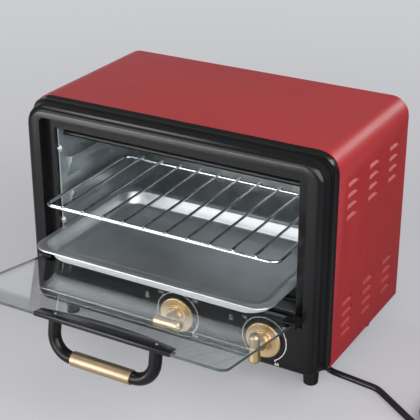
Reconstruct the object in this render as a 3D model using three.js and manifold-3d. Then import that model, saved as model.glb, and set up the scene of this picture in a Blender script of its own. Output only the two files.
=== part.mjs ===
// Countertop mini oven with a drop-down glass door, wire rack, baking tray and two knobs.
// Millimetres. +X is the oven's right-hand side seen from the front, -Y is its front, +Z is up.
// While the pieces are made, y = 0 is the bezel's front face and z = 0 is the surface it stands on.

import * as THREE from 'three';
import { mergeVertices } from 'three/addons/utils/BufferGeometryUtils.js';
import Module from 'manifold-3d';

const wasm = await Module();
wasm.setup();

// Body

const bodyWidth = 360;
const bodyHeight = 245;
const bodyDepth = 206;
const groundClearance = 25;
const sheet = 1;
const fitGap = 0.3;
const overrun = 2;
const mergeDistance = 1e-4;

// Cover

const coverRise = 6;
const coverCornerRadius = 20;
const coverFootRadius = 3;
const coverFlange = 8;

// Side louvres, pressed inwards

const louvreLength = 26;
const louvreHeight = 4.8;
const louvreDepth = 3;
const louvreSlit = 1.5;
const louvrePitch = 12;
const louvreRows = 4;
const louvreColumns = 3;
const louvreColumnPitch = 54;
const louvreFrontMargin = 22;
const upperLouvreDrop = 44;
const lowerLouvreRise = 67;

// Front bezel

const bezelDepth = 26;
const bezelInset = 4;
const bezelFillet = 7;
const bezelWall = 3;
const bezelCornerTop = 23;
const bezelCornerLow = 15;
const bezelGrooveAt = 13;
const bezelGrooveWidth = 1;
const bezelGrooveDepth = 0.7;
const lipThickness = 2;
const lipReach = 8;

// Door recess, opening and cavity

const frameSide = 22;
const recessHalfWidth = bodyWidth / 2 - frameSide;
const panelHeight = 64;
const frameTop = 16.5;
const recessDepth = 10;
const recessCorner = 7;
const recessLowCorner = 1;
const recessWall = 2.5;
const cavityStep = 13.5;
const cavityHalfWidth = recessHalfWidth - cavityStep;
const recessHeight = bodyHeight - panelHeight - frameTop;
const cavityFloorRise = 4;
const cavityHeadGap = 14;
const cavityHeight = recessHeight - cavityFloorRise - cavityHeadGap;
const cavityFrontInset = 15;
const openingReturn = 9;
const openingWall = 2;
const openingCorner = 0.8;

// Runners pressed into the cavity's side walls

const runnerDepth = 6.5;
const runnerCount = 3;
const runnerLowGap = 28.85;
const runnerHighGap = 38.25;
const runnerPitch = (cavityHeight - runnerLowGap - runnerHighGap) / (runnerCount - 1);
const runnerHeightShare = 0.63;
const runnerHeight = runnerHeightShare * runnerPitch;
const runnerStart = 27;
const runnerEndMargin = 14;
const runnerEndRadius = 6;

// Door

const doorOpenAngle = 80.7;
const hingeInset = 5;
const hingeRise = 2.5;
const glassSideGap = 4.5;
const glassHalfWidth = recessHalfWidth - glassSideGap;
const glassTopGap = 4;
const glassLength = recessHeight - hingeRise - glassTopGap;
const glassStart = 2;
const glassThickness = 3;
const glassCorner = 9;
const glassLowCorner = 4;
const clipWall = 1.5;
const clipLength = 21;
const clipTail = 3.4;
const clipReach = 16.5;
const clipInner = recessHalfWidth - clipReach;
const clipClearance = 0.9;
const clipPocketDepth = 3.5;
const clipEyeStart = 6;
const hingePinRadius = 1.6;
const hingePinTail = 3;

// Door handle

const handleCentre = 18;
const channelLength = 155;
const channelReach = 22;
const channelEndReach = 12.6;
const channelWall = 0.7;
const channelGap = 0.1;
const handleInset = 9.2;
const handleSpan = 116;
const handleStandOff = 38.6;
const handleRadius = 6.5;
const handleBend = 22;
const sleeveEndGap = 1.8;
const sleeveLength = handleSpan - 2 * (handleBend + sleeveEndGap);
const sleeveWall = 0.7;

// Wire rack

const rackSideGap = 3.7;
const rackHalfWidth = cavityHalfWidth - rackSideGap;
const rackFront = -23.3;
const rackShortfall = 44.4;
const rackDepth = bodyDepth - rackShortfall;
const rackCorner = 9;
const rackWireRadius = 2;
const rackBarRadius = 1.4;
const rackBarCount = 10;
const rackBarPitch = 2 * rackHalfWidth / (rackBarCount + 1);
const weldDepth = 0.4;

// Baking tray

const traySideGap = 2.2;
const trayHalfWidth = cavityHalfWidth - traySideGap;
const trayFront = -48.6;
const trayShortfall = 16;
const trayLength = bodyDepth - trayShortfall;
const trayCorner = 20;
const trayRimWidth = 6.5;
const trayRimLip = 1.6;
const trayDepth = 15.5;
const trayWallRun = 5;
const trayFootRadius = 5;
const trayWallCorner = 24;
const trayFloorCorner = 22;
const trayPanelSide = 22;
const trayPanelEnd = 33;
const trayPanelRun = 4;
const trayPanelRise = 1;
const trayPanelCorner = 12;

// Knobs and their shafts

const temperatureKnobX = 12.5;
const timerKnobInset = 64;
const knobPlaces = [
  { name: 'temperature', x: temperatureKnobX, turn: 0 },
  { name: 'timer', x: bodyWidth / 2 - timerKnobInset, turn: Math.PI / 2 },
];
const knobHeight = 36;
const knobRadius = 20;
const knobSkirt = 3;
const knobGap = 0.8;
const knobRim = 0.8;
const knobRingRadius = 9.5;
const knobRingWidth = 1.2;
const knobDomeRadius = 8.8;
const knobDomeHeight = 18;
const leverLength = 35;
const leverRadius = 5.8;
const leverFlare = 1.2;
const leverStandOff = 20.5;
const shaftRadius = 3;
const shaftFlat = 0.8;
const shaftReach = 12;
const shaftTail = 8;

// Control units behind the panel

const thermostatRadius = 18;
const thermostatDepth = 13;
const timerWidth = 44;
const timerHeight = 42;
const timerDepth = 26;
const unitCorner = 5;

// Heating rods and their ceramic holders

const rodRadius = 3.25;
const rodFrontInset = 28;
const rodRearInset = 38;
const lowerRodInset = 3;
const upperRodDrop = 10;
const holderThickness = 6;
const holderHalfHeight = 6;
const holderOverhang = 8;
const rodTail = 2.5;

// Base plate, rear panel and their vent slots

const slotWidth = 3;
const slotEndFlat = 0.2;
const slotLength = 22;
const slotPitch = 9;
const rearSlotRows = 6;
const rearSlotInset = 17;
const rearLowerSlots = 9;
const rearLowerPitch = 12;
const baseSlotColumns = 7;
const baseSlotRows = 3;
const baseSlotPitchX = 30;
const baseSlotPitchY = 42;

// Feet

const footInsetX = 26.3;
const footFront = 36.5;
const footRearInset = 31;
const footTopRadius = 9.5;
const footSoleRadius = 7.8;
const footEdge = 1;

// Terminal block in the base compartment

const terminalWidth = 34;
const terminalLength = 18;
const terminalHeight = 13;
const terminalStep = 4;

// Mains cord

const cordRadius = 3.4;
const cordX = 120;
const cordExitHeight = 28;
const cordLevelRun = 8;
const cordLead = 20;
const cordSides = 10;
const cordSteps = 52;
const cordRest = 0.2;
const bendStep = Math.PI / 12;
const reliefFlangeRadius = 9.5;
const reliefFlange = 2.5;
const reliefNeckRadius = 6.5;
const reliefLength = 18;
const reliefTipRadius = 4.4;
const reliefRibs = 4;
const reliefRibDepth = 0.6;
const grooveStartShare = 0.35;
const grooveEndShare = 0.75;
const coilTurns = 3;
const coilRadius = 39;
const coilPitch = 7.5;
const coilX = 322;
const coilY = 44;
const coilStart = 4 / 3 * Math.PI;
const plugLead = 30;
const coilSides = 6;
const coilStepsPerTurn = 24;

// Plug

const plugLength = 34;
const plugHalfWidth = 16;
const plugHalfHeight = 10.4;
const plugBoot = 14;
const plugNose = 4;
const bladeReach = 17;
const bladeSeat = 6;
const bladeWidth = 6.3;
const bladeThickness = 1.6;
const bladeSpread = 7;
const bladeTilt = Math.PI / 6;
const earthBladeDrop = 5;

// Outline and geometry helpers

/** Corner-rounded outline; every outline with the same number of steps has as many points. */
function roundedOutline(box, radii, steps = 6) {
  const { left, right, low, high } = box;
  const corners = [
    { u: right, v: high, du: -1, dv: -1, r: radii.top, from: 0 },
    { u: left, v: high, du: 1, dv: -1, r: radii.top, from: 1 },
    { u: left, v: low, du: 1, dv: 1, r: radii.low, from: 2 },
    { u: right, v: low, du: -1, dv: 1, r: radii.low, from: 3 },
  ];
  const points = [];
  for (const corner of corners) {
    for (let step = 0; step <= steps; step += 1) {
      const angle = (corner.from + step / steps) * Math.PI / 2;
      const u = corner.u + corner.du * corner.r + corner.r * Math.cos(angle);
      const v = corner.v + corner.dv * corner.r + corner.r * Math.sin(angle);
      points.push(new THREE.Vector2(u, v));
    }
  }
  return points;
}

function insetBox(box, inset) {
  return {
    left: box.left + inset,
    right: box.right - inset,
    low: box.low + inset,
    high: box.high - inset,
  };
}

const placePoint = {
  x: (u, v, w) => [w, u, v],
  y: (u, v, w) => [u, w, v],
  z: (u, v, w) => [u, v, w],
};

/** Skin over outlines of equal point count, capped at both ends or closed on itself. */
function loft(sections, axis, closed = false) {
  const count = sections[0].outline.length;
  const clockwise = THREE.ShapeUtils.isClockWise(sections[0].outline);
  const positions = [];
  for (const section of sections) {
    const outline = clockwise ? section.outline.toReversed() : section.outline;
    for (const point of outline) {
      positions.push(...placePoint[axis](point.x, point.y, section.at));
    }
  }
  const indices = [];
  const rings = closed ? sections.length : sections.length - 1;
  for (let ring = 0; ring < rings; ring += 1) {
    const here = ring * count;
    const next = ((ring + 1) % sections.length) * count;
    for (let i = 0; i < count; i += 1) {
      const j = (i + 1) % count;
      indices.push(here + i, here + j, next + j, here + i, next + j, next + i);
    }
  }
  if (!closed) {
    const last = (sections.length - 1) * count;
    const cap = (section) => {
      const outline = clockwise ? section.outline.toReversed() : section.outline;
      return THREE.ShapeUtils.triangulateShape(outline, []);
    };
    for (const [a, b, c] of cap(sections[0])) {
      indices.push(c, b, a);
    }
    for (const [a, b, c] of cap(sections.at(-1))) {
      indices.push(last + a, last + b, last + c);
    }
  }
  const geometry = new THREE.BufferGeometry();
  geometry.setAttribute('position', new THREE.Float32BufferAttribute(positions, 3));
  geometry.setIndex(indices);
  return facingOut(geometry);
}

function signedVolume(geometry) {
  const position = geometry.getAttribute('position');
  const [a, b, c] = [new THREE.Vector3(), new THREE.Vector3(), new THREE.Vector3()];
  let volume = 0;
  for (let i = 0; i < geometry.index.count; i += 3) {
    a.fromBufferAttribute(position, geometry.index.getX(i));
    b.fromBufferAttribute(position, geometry.index.getX(i + 1));
    c.fromBufferAttribute(position, geometry.index.getX(i + 2));
    volume += a.dot(b.cross(c));
  }
  return volume;
}

function facingOut(geometry) {
  if (signedVolume(geometry) < 0) {
    const index = Array.from(geometry.index.array);
    for (let i = 0; i < index.length; i += 3) {
      [index[i], index[i + 2]] = [index[i + 2], index[i]];
    }
    geometry.setIndex(index);
  }
  return geometry;
}

/** Straight prism of an outline between two places on an axis. */
function prism(outline, axis, from, to) {
  return loft([{ outline, at: from }, { outline, at: to }], axis);
}

function points2(...pairs) {
  return pairs.map(([u, v]) => new THREE.Vector2(u, v));
}

function block(x0, x1, y0, y1, z0, z1) {
  const geometry = new THREE.BoxGeometry(x1 - x0, y1 - y0, z1 - z0);
  return geometry.translate((x0 + x1) / 2, (y0 + y1) / 2, (z0 + z1) / 2);
}

function rod(radius, length, sides = 12) {
  return new THREE.CylinderGeometry(radius, radius, length, sides);
}

/** Revolves [radius, height] pairs about +Y. */
function revolve(pairs, sides = 24) {
  return new THREE.LatheGeometry(points2(...pairs), sides);
}

/** Shifts an outline of revolution so that its heights run along +Z. */
function revolveUp(pairs, sides = 24) {
  return revolve(pairs, sides).rotateX(Math.PI / 2);
}

// Joining and cutting

function toSolid(geometry) {
  const bare = geometry.clone();
  bare.deleteAttribute('normal');
  bare.deleteAttribute('uv');
  const merged = facingOut(mergeVertices(bare, mergeDistance));
  const mesh = new wasm.Mesh({
    numProp: 3,
    vertProperties: new Float32Array(merged.getAttribute('position').array),
    triVerts: new Uint32Array(merged.index.array),
  });
  return new wasm.Manifold(mesh);
}

function toGeometry(solid) {
  const mesh = solid.getMesh();
  const geometry = new THREE.BufferGeometry();
  geometry.setAttribute('position', new THREE.Float32BufferAttribute(mesh.vertProperties, 3));
  geometry.setIndex(Array.from(mesh.triVerts));
  return geometry;
}

function join(first, ...others) {
  return toGeometry(others.reduce((solid, other) => solid.add(toSolid(other)), toSolid(first)));
}

function cut(first, ...others) {
  return toGeometry(others.reduce((solid, other) => solid.subtract(toSolid(other)), toSolid(first)));
}

function meet(first, second) {
  return toGeometry(toSolid(first).intersect(toSolid(second)));
}

function mirrorX(geometry) {
  const mirrored = geometry.clone().scale(-1, 1, 1);
  const index = Array.from(mirrored.index.array);
  for (let i = 0; i < index.length; i += 3) {
    [index[i], index[i + 2]] = [index[i + 2], index[i]];
  }
  mirrored.setIndex(index);
  return mirrored;
}

// Finishes

function finish(color, roughness, metalness, extra = {}) {
  return new THREE.MeshStandardMaterial({ color, roughness, metalness, ...extra });
}

const finishes = {
  redPaint: finish(0xa3262c, 0.42, 0.25),
  blackPlastic: finish(0x1c1c1e, 0.38, 0),
  matteBlack: finish(0x202022, 0.6, 0),
  galvanised: finish(0x6d7478, 0.4, 0.9),
  glass: finish(0x9fc4b8, 0.05, 0, { transparent: true, opacity: 0.35 }),
  chrome: finish(0xd8dadc, 0.15, 1),
  aluminium: finish(0x8f989b, 0.4, 0.9),
  gold: finish(0xc8a878, 0.3, 0.9),
  heaterSteel: finish(0x54575a, 0.45, 0.8),
  ceramic: finish(0xe8e4da, 0.7, 0),
  rubber: finish(0x161617, 0.75, 0),
  brass: finish(0xc9a557, 0.3, 1),
  switchPlastic: finish(0xd9d6cc, 0.6, 0),
};

function piece(name, geometry, material) {
  const mesh = new THREE.Mesh(geometry, material);
  mesh.name = name;
  return mesh;
}

// Places shared by several pieces

const bezelLow = groundClearance;
const bodyTop = groundClearance + bodyHeight;
const halfWidth = bodyWidth / 2;
const coverLow = groundClearance + coverRise;
const coverFront = bezelDepth + fitGap;
const recessLow = groundClearance + panelHeight;
const recessHigh = recessLow + recessHeight;
const cavityFloor = recessLow + cavityFloorRise;
const cavityTop = cavityFloor + cavityHeight;
const wallOuter = cavityHalfWidth + sheet;
const rearFace = bodyDepth - sheet;
const rearInner = rearFace - fitGap;
const basePlateLow = coverLow + sheet + fitGap;
const basePlateTop = basePlateLow + sheet;
const openingHalfWidth = wallOuter + fitGap;
const openingLow = cavityFloor - sheet - fitGap;
const openingHigh = cavityTop + sheet + fitGap;
const openingEnd = recessDepth + openingReturn;
const hingeZ = recessLow + hingeRise;
const knobZ = groundClearance + knobHeight;
const trayRunner = cavityFloor + runnerLowGap;
const trayRimTop = trayRunner + fitGap + trayRimLip;
const rackRunner = trayRunner + runnerPitch;
const rackZ = rackRunner + fitGap + rackWireRadius;
const lowerRodZ = cavityFloor + lowerRodInset + rodRadius;
const upperRodZ = cavityTop - upperRodDrop;
const rodPlaces = [rodFrontInset, bodyDepth - rodRearInset];
const rodHole = rodRadius + fitGap;

const coverBox = { left: -halfWidth, right: halfWidth, low: coverLow, high: bodyTop };
const bezelBox = { left: -halfWidth, right: halfWidth, low: bezelLow, high: bodyTop };
const coverRadii = { top: coverCornerRadius, low: coverFootRadius };

function coverInside(inset) {
  const radii = { top: coverCornerRadius - inset, low: coverFootRadius - sheet / 2 };
  return roundedOutline(insetBox(coverBox, inset), radii);
}

// Cover: one sheet wrapped over the top and both sides, with pressed louvres

/** One louvre for the right side: the metal it adds and the hollow it opens. */
function louvre() {
  const lipHeight = louvreHeight - louvreSlit;
  const slope = lipHeight / louvreDepth;
  const bladeDrop = sheet * Math.hypot(1, slope);
  const outer = halfWidth;
  const inner = outer - louvreDepth;
  const metal = points2(
    [outer, -bladeDrop],
    [inner, lipHeight - bladeDrop],
    [inner, louvreHeight],
    [outer, louvreHeight],
  );
  const hollow = points2(
    [outer + overrun, 0],
    [outer, 0],
    [inner, lipHeight],
    [inner - overrun, lipHeight],
    [inner - overrun, louvreHeight],
    [outer + overrun, louvreHeight],
  );
  const plan = (length, reach, radius) => roundedOutline(
    { left: outer - reach, right: outer + 2 * overrun, low: -length / 2, high: length / 2 },
    { top: radius, low: radius },
    2,
  );
  const metalPlan = plan(louvreLength, louvreDepth, louvreDepth - sheet / 2);
  const hollowPlan = plan(louvreLength - 2 * sheet, louvreDepth + overrun, louvreDepth);
  const alongY = (outline) => prism(outline, 'y', -louvreLength, louvreLength);
  const upright = (outline) => prism(outline, 'z', -louvreHeight, 2 * louvreHeight);
  return {
    metal: meet(alongY(metal), upright(metalPlan)),
    hollow: meet(alongY(hollow), upright(hollowPlan)),
  };
}

function louvrePlaces() {
  const firstY = coverFront + louvreFrontMargin + louvreLength / 2;
  const groups = [bodyTop - upperLouvreDrop, groundClearance + lowerLouvreRise];
  const places = [];
  for (const top of groups) {
    for (let row = 0; row < louvreRows; row += 1) {
      for (let column = 0; column < louvreColumns; column += 1) {
        places.push({ y: firstY + column * louvreColumnPitch, z: top - row * louvrePitch });
      }
    }
  }
  return places;
}

function cover() {
  const shell = prism(roundedOutline(coverBox, coverRadii), 'y', coverFront, bodyDepth);
  const inside = prism(coverInside(sheet), 'y', coverFront - overrun, bodyDepth + overrun);
  const flangeEnd = halfWidth - coverFlange;
  const open = block(-flangeEnd, flangeEnd, coverFront - overrun, bodyDepth + overrun,
    coverLow - overrun, coverLow + sheet + overrun);
  let solid = toSolid(shell).subtract(toSolid(inside)).subtract(toSolid(open));
  const one = louvre();
  for (const place of louvrePlaces()) {
    for (const mirrored of [false, true]) {
      const [metal, hollow] = [one.metal, one.hollow].map((geometry) => {
        const sided = mirrored ? mirrorX(geometry) : geometry.clone();
        return toSolid(sided.translate(0, place.y, place.z));
      });
      solid = solid.add(metal).subtract(hollow);
    }
  }
  return piece('outer_cover', toGeometry(solid), finishes.redPaint);
}

// Front bezel: a moulded frame with a rounded face, door recess, control panel and rear lip

function bezelSkin() {
  const filletSteps = 4;
  const at = (y, inset, round) => ({
    at: y,
    outline: roundedOutline(
      insetBox(bezelBox, inset),
      { top: bezelCornerTop - round, low: bezelCornerLow - round },
    ),
  });
  const taper = (y) => bezelInset * (bezelDepth - y) / (bezelDepth - bezelFillet);
  const grooveEnd = bezelGrooveAt + bezelGrooveWidth;
  const sections = [
    at(bezelDepth, 0, 0),
    at(grooveEnd, taper(grooveEnd), 0),
    at(grooveEnd, taper(grooveEnd) + bezelGrooveDepth, bezelGrooveDepth),
    at(bezelGrooveAt, taper(bezelGrooveAt) + bezelGrooveDepth, bezelGrooveDepth),
    at(bezelGrooveAt, taper(bezelGrooveAt), 0),
  ];
  for (let step = 0; step <= filletSteps; step += 1) {
    const angle = step / filletSteps * Math.PI / 2;
    const back = bezelFillet * (1 - Math.sin(angle));
    const inward = bezelFillet * (1 - Math.cos(angle));
    sections.push(at(back, bezelInset + inward, inward));
  }
  return loft(sections, 'y');
}

function recessOutline(grow) {
  const box = {
    left: -recessHalfWidth, right: recessHalfWidth, low: recessLow, high: recessHigh,
  };
  const radii = { top: recessCorner + grow, low: recessLowCorner + grow };
  return roundedOutline(insetBox(box, -grow), radii);
}

function openingOutline(grow) {
  const box = {
    left: -openingHalfWidth, right: openingHalfWidth, low: openingLow, high: openingHigh,
  };
  return roundedOutline(insetBox(box, -grow), { top: openingCorner, low: openingCorner }, 3);
}

function bezel() {
  const innerBox = insetBox(bezelBox, bezelInset + bezelWall);
  const innerRadii = { top: bezelCornerTop - bezelWall, low: bezelCornerLow - bezelWall };
  const hollow = prism(roundedOutline(innerBox, innerRadii), 'y', bezelWall, bezelDepth + overrun);
  const tub = prism(recessOutline(recessWall), 'y', bezelWall / 2, recessDepth + recessWall);
  const collar = prism(openingOutline(openingWall), 'y', recessDepth, openingEnd);
  const lipOuter = coverInside(sheet + fitGap);
  const lipInner = coverInside(sheet + fitGap + lipThickness);
  const lipStart = bezelDepth - lipReach;
  const lip = cut(
    prism(lipOuter, 'y', lipStart, bezelDepth + lipReach),
    prism(lipInner, 'y', lipStart - overrun, bezelDepth + lipReach + overrun),
  );
  const recess = prism(recessOutline(0), 'y', -overrun, recessDepth);
  const opening = prism(openingOutline(0), 'y', recessDepth - overrun, openingEnd + overrun);
  const pockets = [-1, 1].map((side) => {
    const reach = [side * (clipInner - clipClearance), side * recessHalfWidth].sort((a, b) => a - b);
    return block(...reach, -overrun, recessDepth, recessLow - clipPocketDepth, recessLow + overrun);
  });
  const pocketFloors = [-1, 1].map((side) => {
    const inner = clipInner - clipClearance - recessWall;
    const reach = [side * inner, side * (recessHalfWidth + recessWall)].sort((a, b) => a - b);
    const low = recessLow - clipPocketDepth - recessWall;
    return block(...reach, bezelWall / 2, recessDepth + recessWall, low, recessLow);
  });
  const shaftHoles = knobPlaces.map(({ x }) => {
    return rod(shaftRadius + fitGap, 2 * bezelWall + overrun, 16).translate(x, bezelWall / 2, knobZ);
  });
  const pinHoles = [-1, 1].map((side) => {
    const hole = rod(hingePinRadius + fitGap / 2, hingePinTail, 12).rotateZ(Math.PI / 2);
    return hole.translate(side * (recessHalfWidth + hingePinTail / 2 - overrun / 2), hingeInset, hingeZ);
  });
  const shell = join(cut(bezelSkin(), hollow), tub, collar, lip, ...pocketFloors);
  return piece(
    'front_bezel',
    cut(shell, recess, opening, ...pockets, ...shaftHoles, ...pinHoles),
    finishes.blackPlastic,
  );
}

// Base plate and rear panel

function slot(length, axis) {
  const half = length / 2;
  const box = { left: -half, right: half, low: -slotWidth / 2, high: slotWidth / 2 };
  const radius = (slotWidth - slotEndFlat) / 2;
  return prism(roundedOutline(box, { top: radius, low: radius }, 1), axis, -overrun, sheet + overrun);
}

function basePlate() {
  const side = halfWidth - sheet - coverFootRadius;
  const front = bezelDepth + lipReach + fitGap;
  let solid = toSolid(block(-side, side, front, rearInner, basePlateLow, basePlateTop));
  const centreY = (front + rearInner) / 2;
  for (let column = 0; column < baseSlotColumns; column += 1) {
    for (let row = 0; row < baseSlotRows; row += 1) {
      const x = (column - (baseSlotColumns - 1) / 2) * baseSlotPitchX;
      const y = centreY + (row - (baseSlotRows - 1) / 2) * baseSlotPitchY;
      solid = solid.subtract(toSolid(slot(slotLength, 'z').translate(x, y, basePlateLow)));
    }
  }
  return piece('base_plate', toGeometry(solid), finishes.galvanised);
}

function rearPanel() {
  let solid = toSolid(prism(coverInside(sheet + fitGap), 'y', rearFace, bodyDepth));
  const upper = bodyTop - upperLouvreDrop;
  for (const side of [-1, 1]) {
    for (let row = 0; row < rearSlotRows; row += 1) {
      const x = side * (halfWidth - rearSlotInset);
      const hole = slot(slotLength, 'y').translate(x, rearFace, upper - row * slotPitch);
      solid = solid.subtract(toSolid(hole));
    }
  }
  for (let column = 0; column < rearLowerSlots; column += 1) {
    const x = (column - (rearLowerSlots - 1) / 2) * rearLowerPitch;
    const hole = slot(slotLength, 'y').rotateY(Math.PI / 2);
    solid = solid.subtract(toSolid(hole.translate(x, rearFace, knobZ)));
  }
  const cordHole = rod(reliefNeckRadius + fitGap, sheet + 2 * overrun, 24);
  cordHole.translate(cordX, bodyDepth, coverLow + cordExitHeight);
  return piece('rear_panel', toGeometry(solid.subtract(toSolid(cordHole))), finishes.galvanised);
}

// Cavity: side walls with pressed runners, ceiling and floor

/** A long pressed ledge on the right wall, with its rounded ends. */
function runner(top, shrink) {
  const face = cavityHalfWidth;
  const depth = runnerDepth - shrink;
  const section = points2(
    [face + sheet / 2, top - shrink],
    [face - depth, top - shrink],
    [face - depth, top - shrink - sheet],
    [face, top - runnerHeight + shrink],
    [face + sheet / 2, top - runnerHeight + shrink],
  );
  const end = rearFace - runnerEndMargin - shrink;
  const start = runnerStart + shrink;
  const plan = roundedOutline(
    { left: face - depth, right: face + runnerEndRadius * 2, low: start, high: end },
    { top: runnerEndRadius - shrink, low: runnerEndRadius - shrink },
    4,
  );
  return meet(
    prism(section, 'y', start, end),
    prism(plan, 'z', top - runnerHeight - overrun, top + overrun),
  );
}

function cavityWall(side) {
  const legFront = coverFront + lipReach + fitGap;
  const outline = points2(
    [cavityFrontInset, cavityTop + sheet],
    [cavityFrontInset, cavityFloor - sheet],
    [legFront, cavityFloor - sheet],
    [legFront, basePlateTop + fitGap],
    [rearInner, basePlateTop + fitGap],
    [rearInner, cavityTop + sheet],
  );
  let solid = toSolid(prism(outline, 'x', cavityHalfWidth, wallOuter));
  for (let level = 0; level < runnerCount; level += 1) {
    const top = trayRunner + level * runnerPitch;
    const hollow = runner(top, sheet).translate(sheet / 2, 0, 0);
    solid = solid.add(toSolid(runner(top, 0))).subtract(toSolid(hollow));
  }
  for (const y of rodPlaces) {
    for (const z of [lowerRodZ, upperRodZ]) {
      const hole = rod(rodHole, 2 * overrun + sheet).rotateZ(Math.PI / 2);
      solid = solid.subtract(toSolid(hole.translate(wallOuter, y, z)));
    }
  }
  const wall = toGeometry(solid);
  const name = side > 0 ? 'cavity_wall_right' : 'cavity_wall_left';
  return piece(name, side > 0 ? wall : mirrorX(wall), finishes.galvanised);
}

function cavitySheet(name, low) {
  const reach = cavityHalfWidth - fitGap;
  const plate = block(-reach, reach, cavityFrontInset, rearInner, low, low + sheet);
  return piece(name, plate, finishes.galvanised);
}

// Heating rods and ceramic holders

function heatingRod(name, y, z) {
  const length = 2 * (wallOuter + fitGap + holderThickness + rodTail);
  const bar = rod(rodRadius, length, 14).rotateZ(Math.PI / 2).translate(0, y, z);
  return piece(name, bar, finishes.heaterSteel);
}

function rodHolder(name, side, z) {
  const inner = side * (wallOuter + fitGap);
  const outer = inner + side * holderThickness;
  const reach = [inner, outer].sort((a, b) => a - b);
  const bar = block(...reach, rodPlaces[0] - holderOverhang, rodPlaces[1] + holderOverhang,
    z - holderHalfHeight, z + holderHalfHeight);
  const holes = rodPlaces.map((y) => {
    return rod(rodHole, holderThickness + 2 * overrun).rotateZ(Math.PI / 2)
      .translate((inner + outer) / 2, y, z);
  });
  return piece(name, cut(bar, ...holes), finishes.ceramic);
}

function heaters() {
  const parts = [];
  for (const [level, z] of [['lower', lowerRodZ], ['upper', upperRodZ]]) {
    parts.push(heatingRod(`heating_rod_${level}_front`, rodPlaces[0], z));
    parts.push(heatingRod(`heating_rod_${level}_rear`, rodPlaces[1], z));
    parts.push(rodHolder(`rod_holder_${level}_left`, -1, z));
    parts.push(rodHolder(`rod_holder_${level}_right`, 1, z));
  }
  return parts;
}

// Door: made closed about its hinge axis, then swung open

function doorGlass() {
  const box = {
    left: -glassHalfWidth, right: glassHalfWidth, low: glassStart, high: glassLength,
  };
  const outline = roundedOutline(box, { top: glassCorner, low: glassLowCorner }, 6);
  const pane = prism(outline, 'y', -glassThickness / 2, glassThickness / 2);
  return piece('door_glass', pane, finishes.glass);
}

/** U-shaped clip on the glass's lower corner, with an eye round the hinge pin. */
function hingeClip(side) {
  const half = glassThickness / 2 + fitGap + clipWall;
  const outerX = recessHalfWidth - 2 * fitGap;
  const body = prism(
    roundedOutline(
      { left: -half, right: half, low: -clipTail, high: clipLength },
      { top: clipWall, low: clipTail - fitGap },
      4,
    ),
    'x',
    clipInner,
    outerX,
  );
  const pocket = block(
    clipInner - overrun, glassHalfWidth + fitGap,
    -glassThickness / 2 - fitGap, glassThickness / 2 + fitGap,
    glassStart - fitGap, clipLength + overrun,
  );
  const [eyeStart, eyeEnd] = [clipInner + clipEyeStart, outerX + overrun];
  const eye = rod(hingePinRadius + fitGap, eyeEnd - eyeStart, 12).rotateZ(Math.PI / 2);
  eye.translate((eyeStart + eyeEnd) / 2, 0, 0);
  const clip = cut(body, pocket, eye);
  const name = side > 0 ? 'hinge_clip_right' : 'hinge_clip_left';
  return piece(name, side > 0 ? clip : mirrorX(clip), finishes.matteBlack);
}

function hingePin(side) {
  const from = glassHalfWidth - clipWall;
  const to = recessHalfWidth + hingePinTail - overrun;
  const pin = rod(hingePinRadius, to - from, 12).rotateZ(Math.PI / 2);
  pin.translate(side * (from + to) / 2, hingeInset, hingeZ);
  return piece(side > 0 ? 'hinge_pin_right' : 'hinge_pin_left', pin, finishes.chrome);
}

const slotHalf = glassThickness / 2 + channelGap;
const channelHalf = slotHalf + channelWall;
const channelHigh = glassLength + channelGap + channelWall;
const handleAlong = channelHigh - handleInset;

/** Channel over the free edge; its oven-side edges are bowed, deepest at the middle. */
function handleChannel() {
  const left = handleCentre - channelLength / 2;
  const right = handleCentre + channelLength / 2;
  const low = channelHigh - channelReach;
  const bar = prism(
    roundedOutline(
      { left: -channelHalf, right: channelHalf, low, high: channelHigh },
      { top: channelWall, low: channelWall / 2 },
      3,
    ),
    'x',
    left,
    right,
  );
  const bowSteps = 16;
  const plan = points2([right, channelHigh + overrun], [left, channelHigh + overrun]);
  for (let step = 0; step <= bowSteps; step += 1) {
    const share = 2 * step / bowSteps - 1;
    const x = handleCentre + share * channelLength / 2;
    plan.push(new THREE.Vector2(x, low + (channelReach - channelEndReach) * share * share));
  }
  const bowed = meet(bar, prism(plan, 'y', -channelHalf - overrun, channelHalf + overrun));
  const groove = block(left - overrun, right + overrun, -slotHalf, slotHalf,
    low - overrun, glassLength + channelGap);
  return piece('handle_channel', cut(bowed, groove), finishes.blackPlastic);
}

function handleTube() {
  const near = -channelHalf - fitGap;
  const far = -handleStandOff;
  const [left, right] = [handleCentre - handleSpan / 2, handleCentre + handleSpan / 2];
  const at = (x, y) => new THREE.Vector3(x, y, handleAlong);
  const bendPoints = (x, towards) => {
    const points = [];
    for (let step = 0; step <= 6; step += 1) {
      const angle = step / 6 * Math.PI / 2;
      const across = handleBend * (1 - Math.cos(angle));
      const along = far + handleBend * (1 - Math.sin(angle));
      points.push(at(x + towards * across, along));
    }
    return points;
  };
  const stations = [at(left, near), ...bendPoints(left, 1), ...bendPoints(right, -1).reverse(),
    at(right, near)];
  const path = new THREE.CurvePath();
  for (let i = 1; i < stations.length; i += 1) {
    path.add(new THREE.LineCurve3(stations[i - 1], stations[i]));
  }
  const section = new THREE.Shape();
  section.absarc(0, 0, handleRadius, 0, 2 * Math.PI);
  const tube = new THREE.ExtrudeGeometry(section, {
    steps: 28, curveSegments: 7, bevelEnabled: false, extrudePath: path,
  });
  return piece('handle_tube', tube, finishes.matteBlack);
}

function handleSleeve() {
  const inner = handleRadius + fitGap;
  const outer = inner + sleeveWall;
  const half = sleeveLength / 2;
  const chamfer = sleeveWall / 2;
  const ring = revolve([
    [inner, -half], [outer - chamfer, -half], [outer, -half + chamfer],
    [outer, half - chamfer], [outer - chamfer, half], [inner, half], [inner, -half],
  ], 28);
  ring.rotateZ(Math.PI / 2).translate(handleCentre, -handleStandOff, handleAlong);
  return piece('handle_sleeve', ring, finishes.gold);
}

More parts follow.
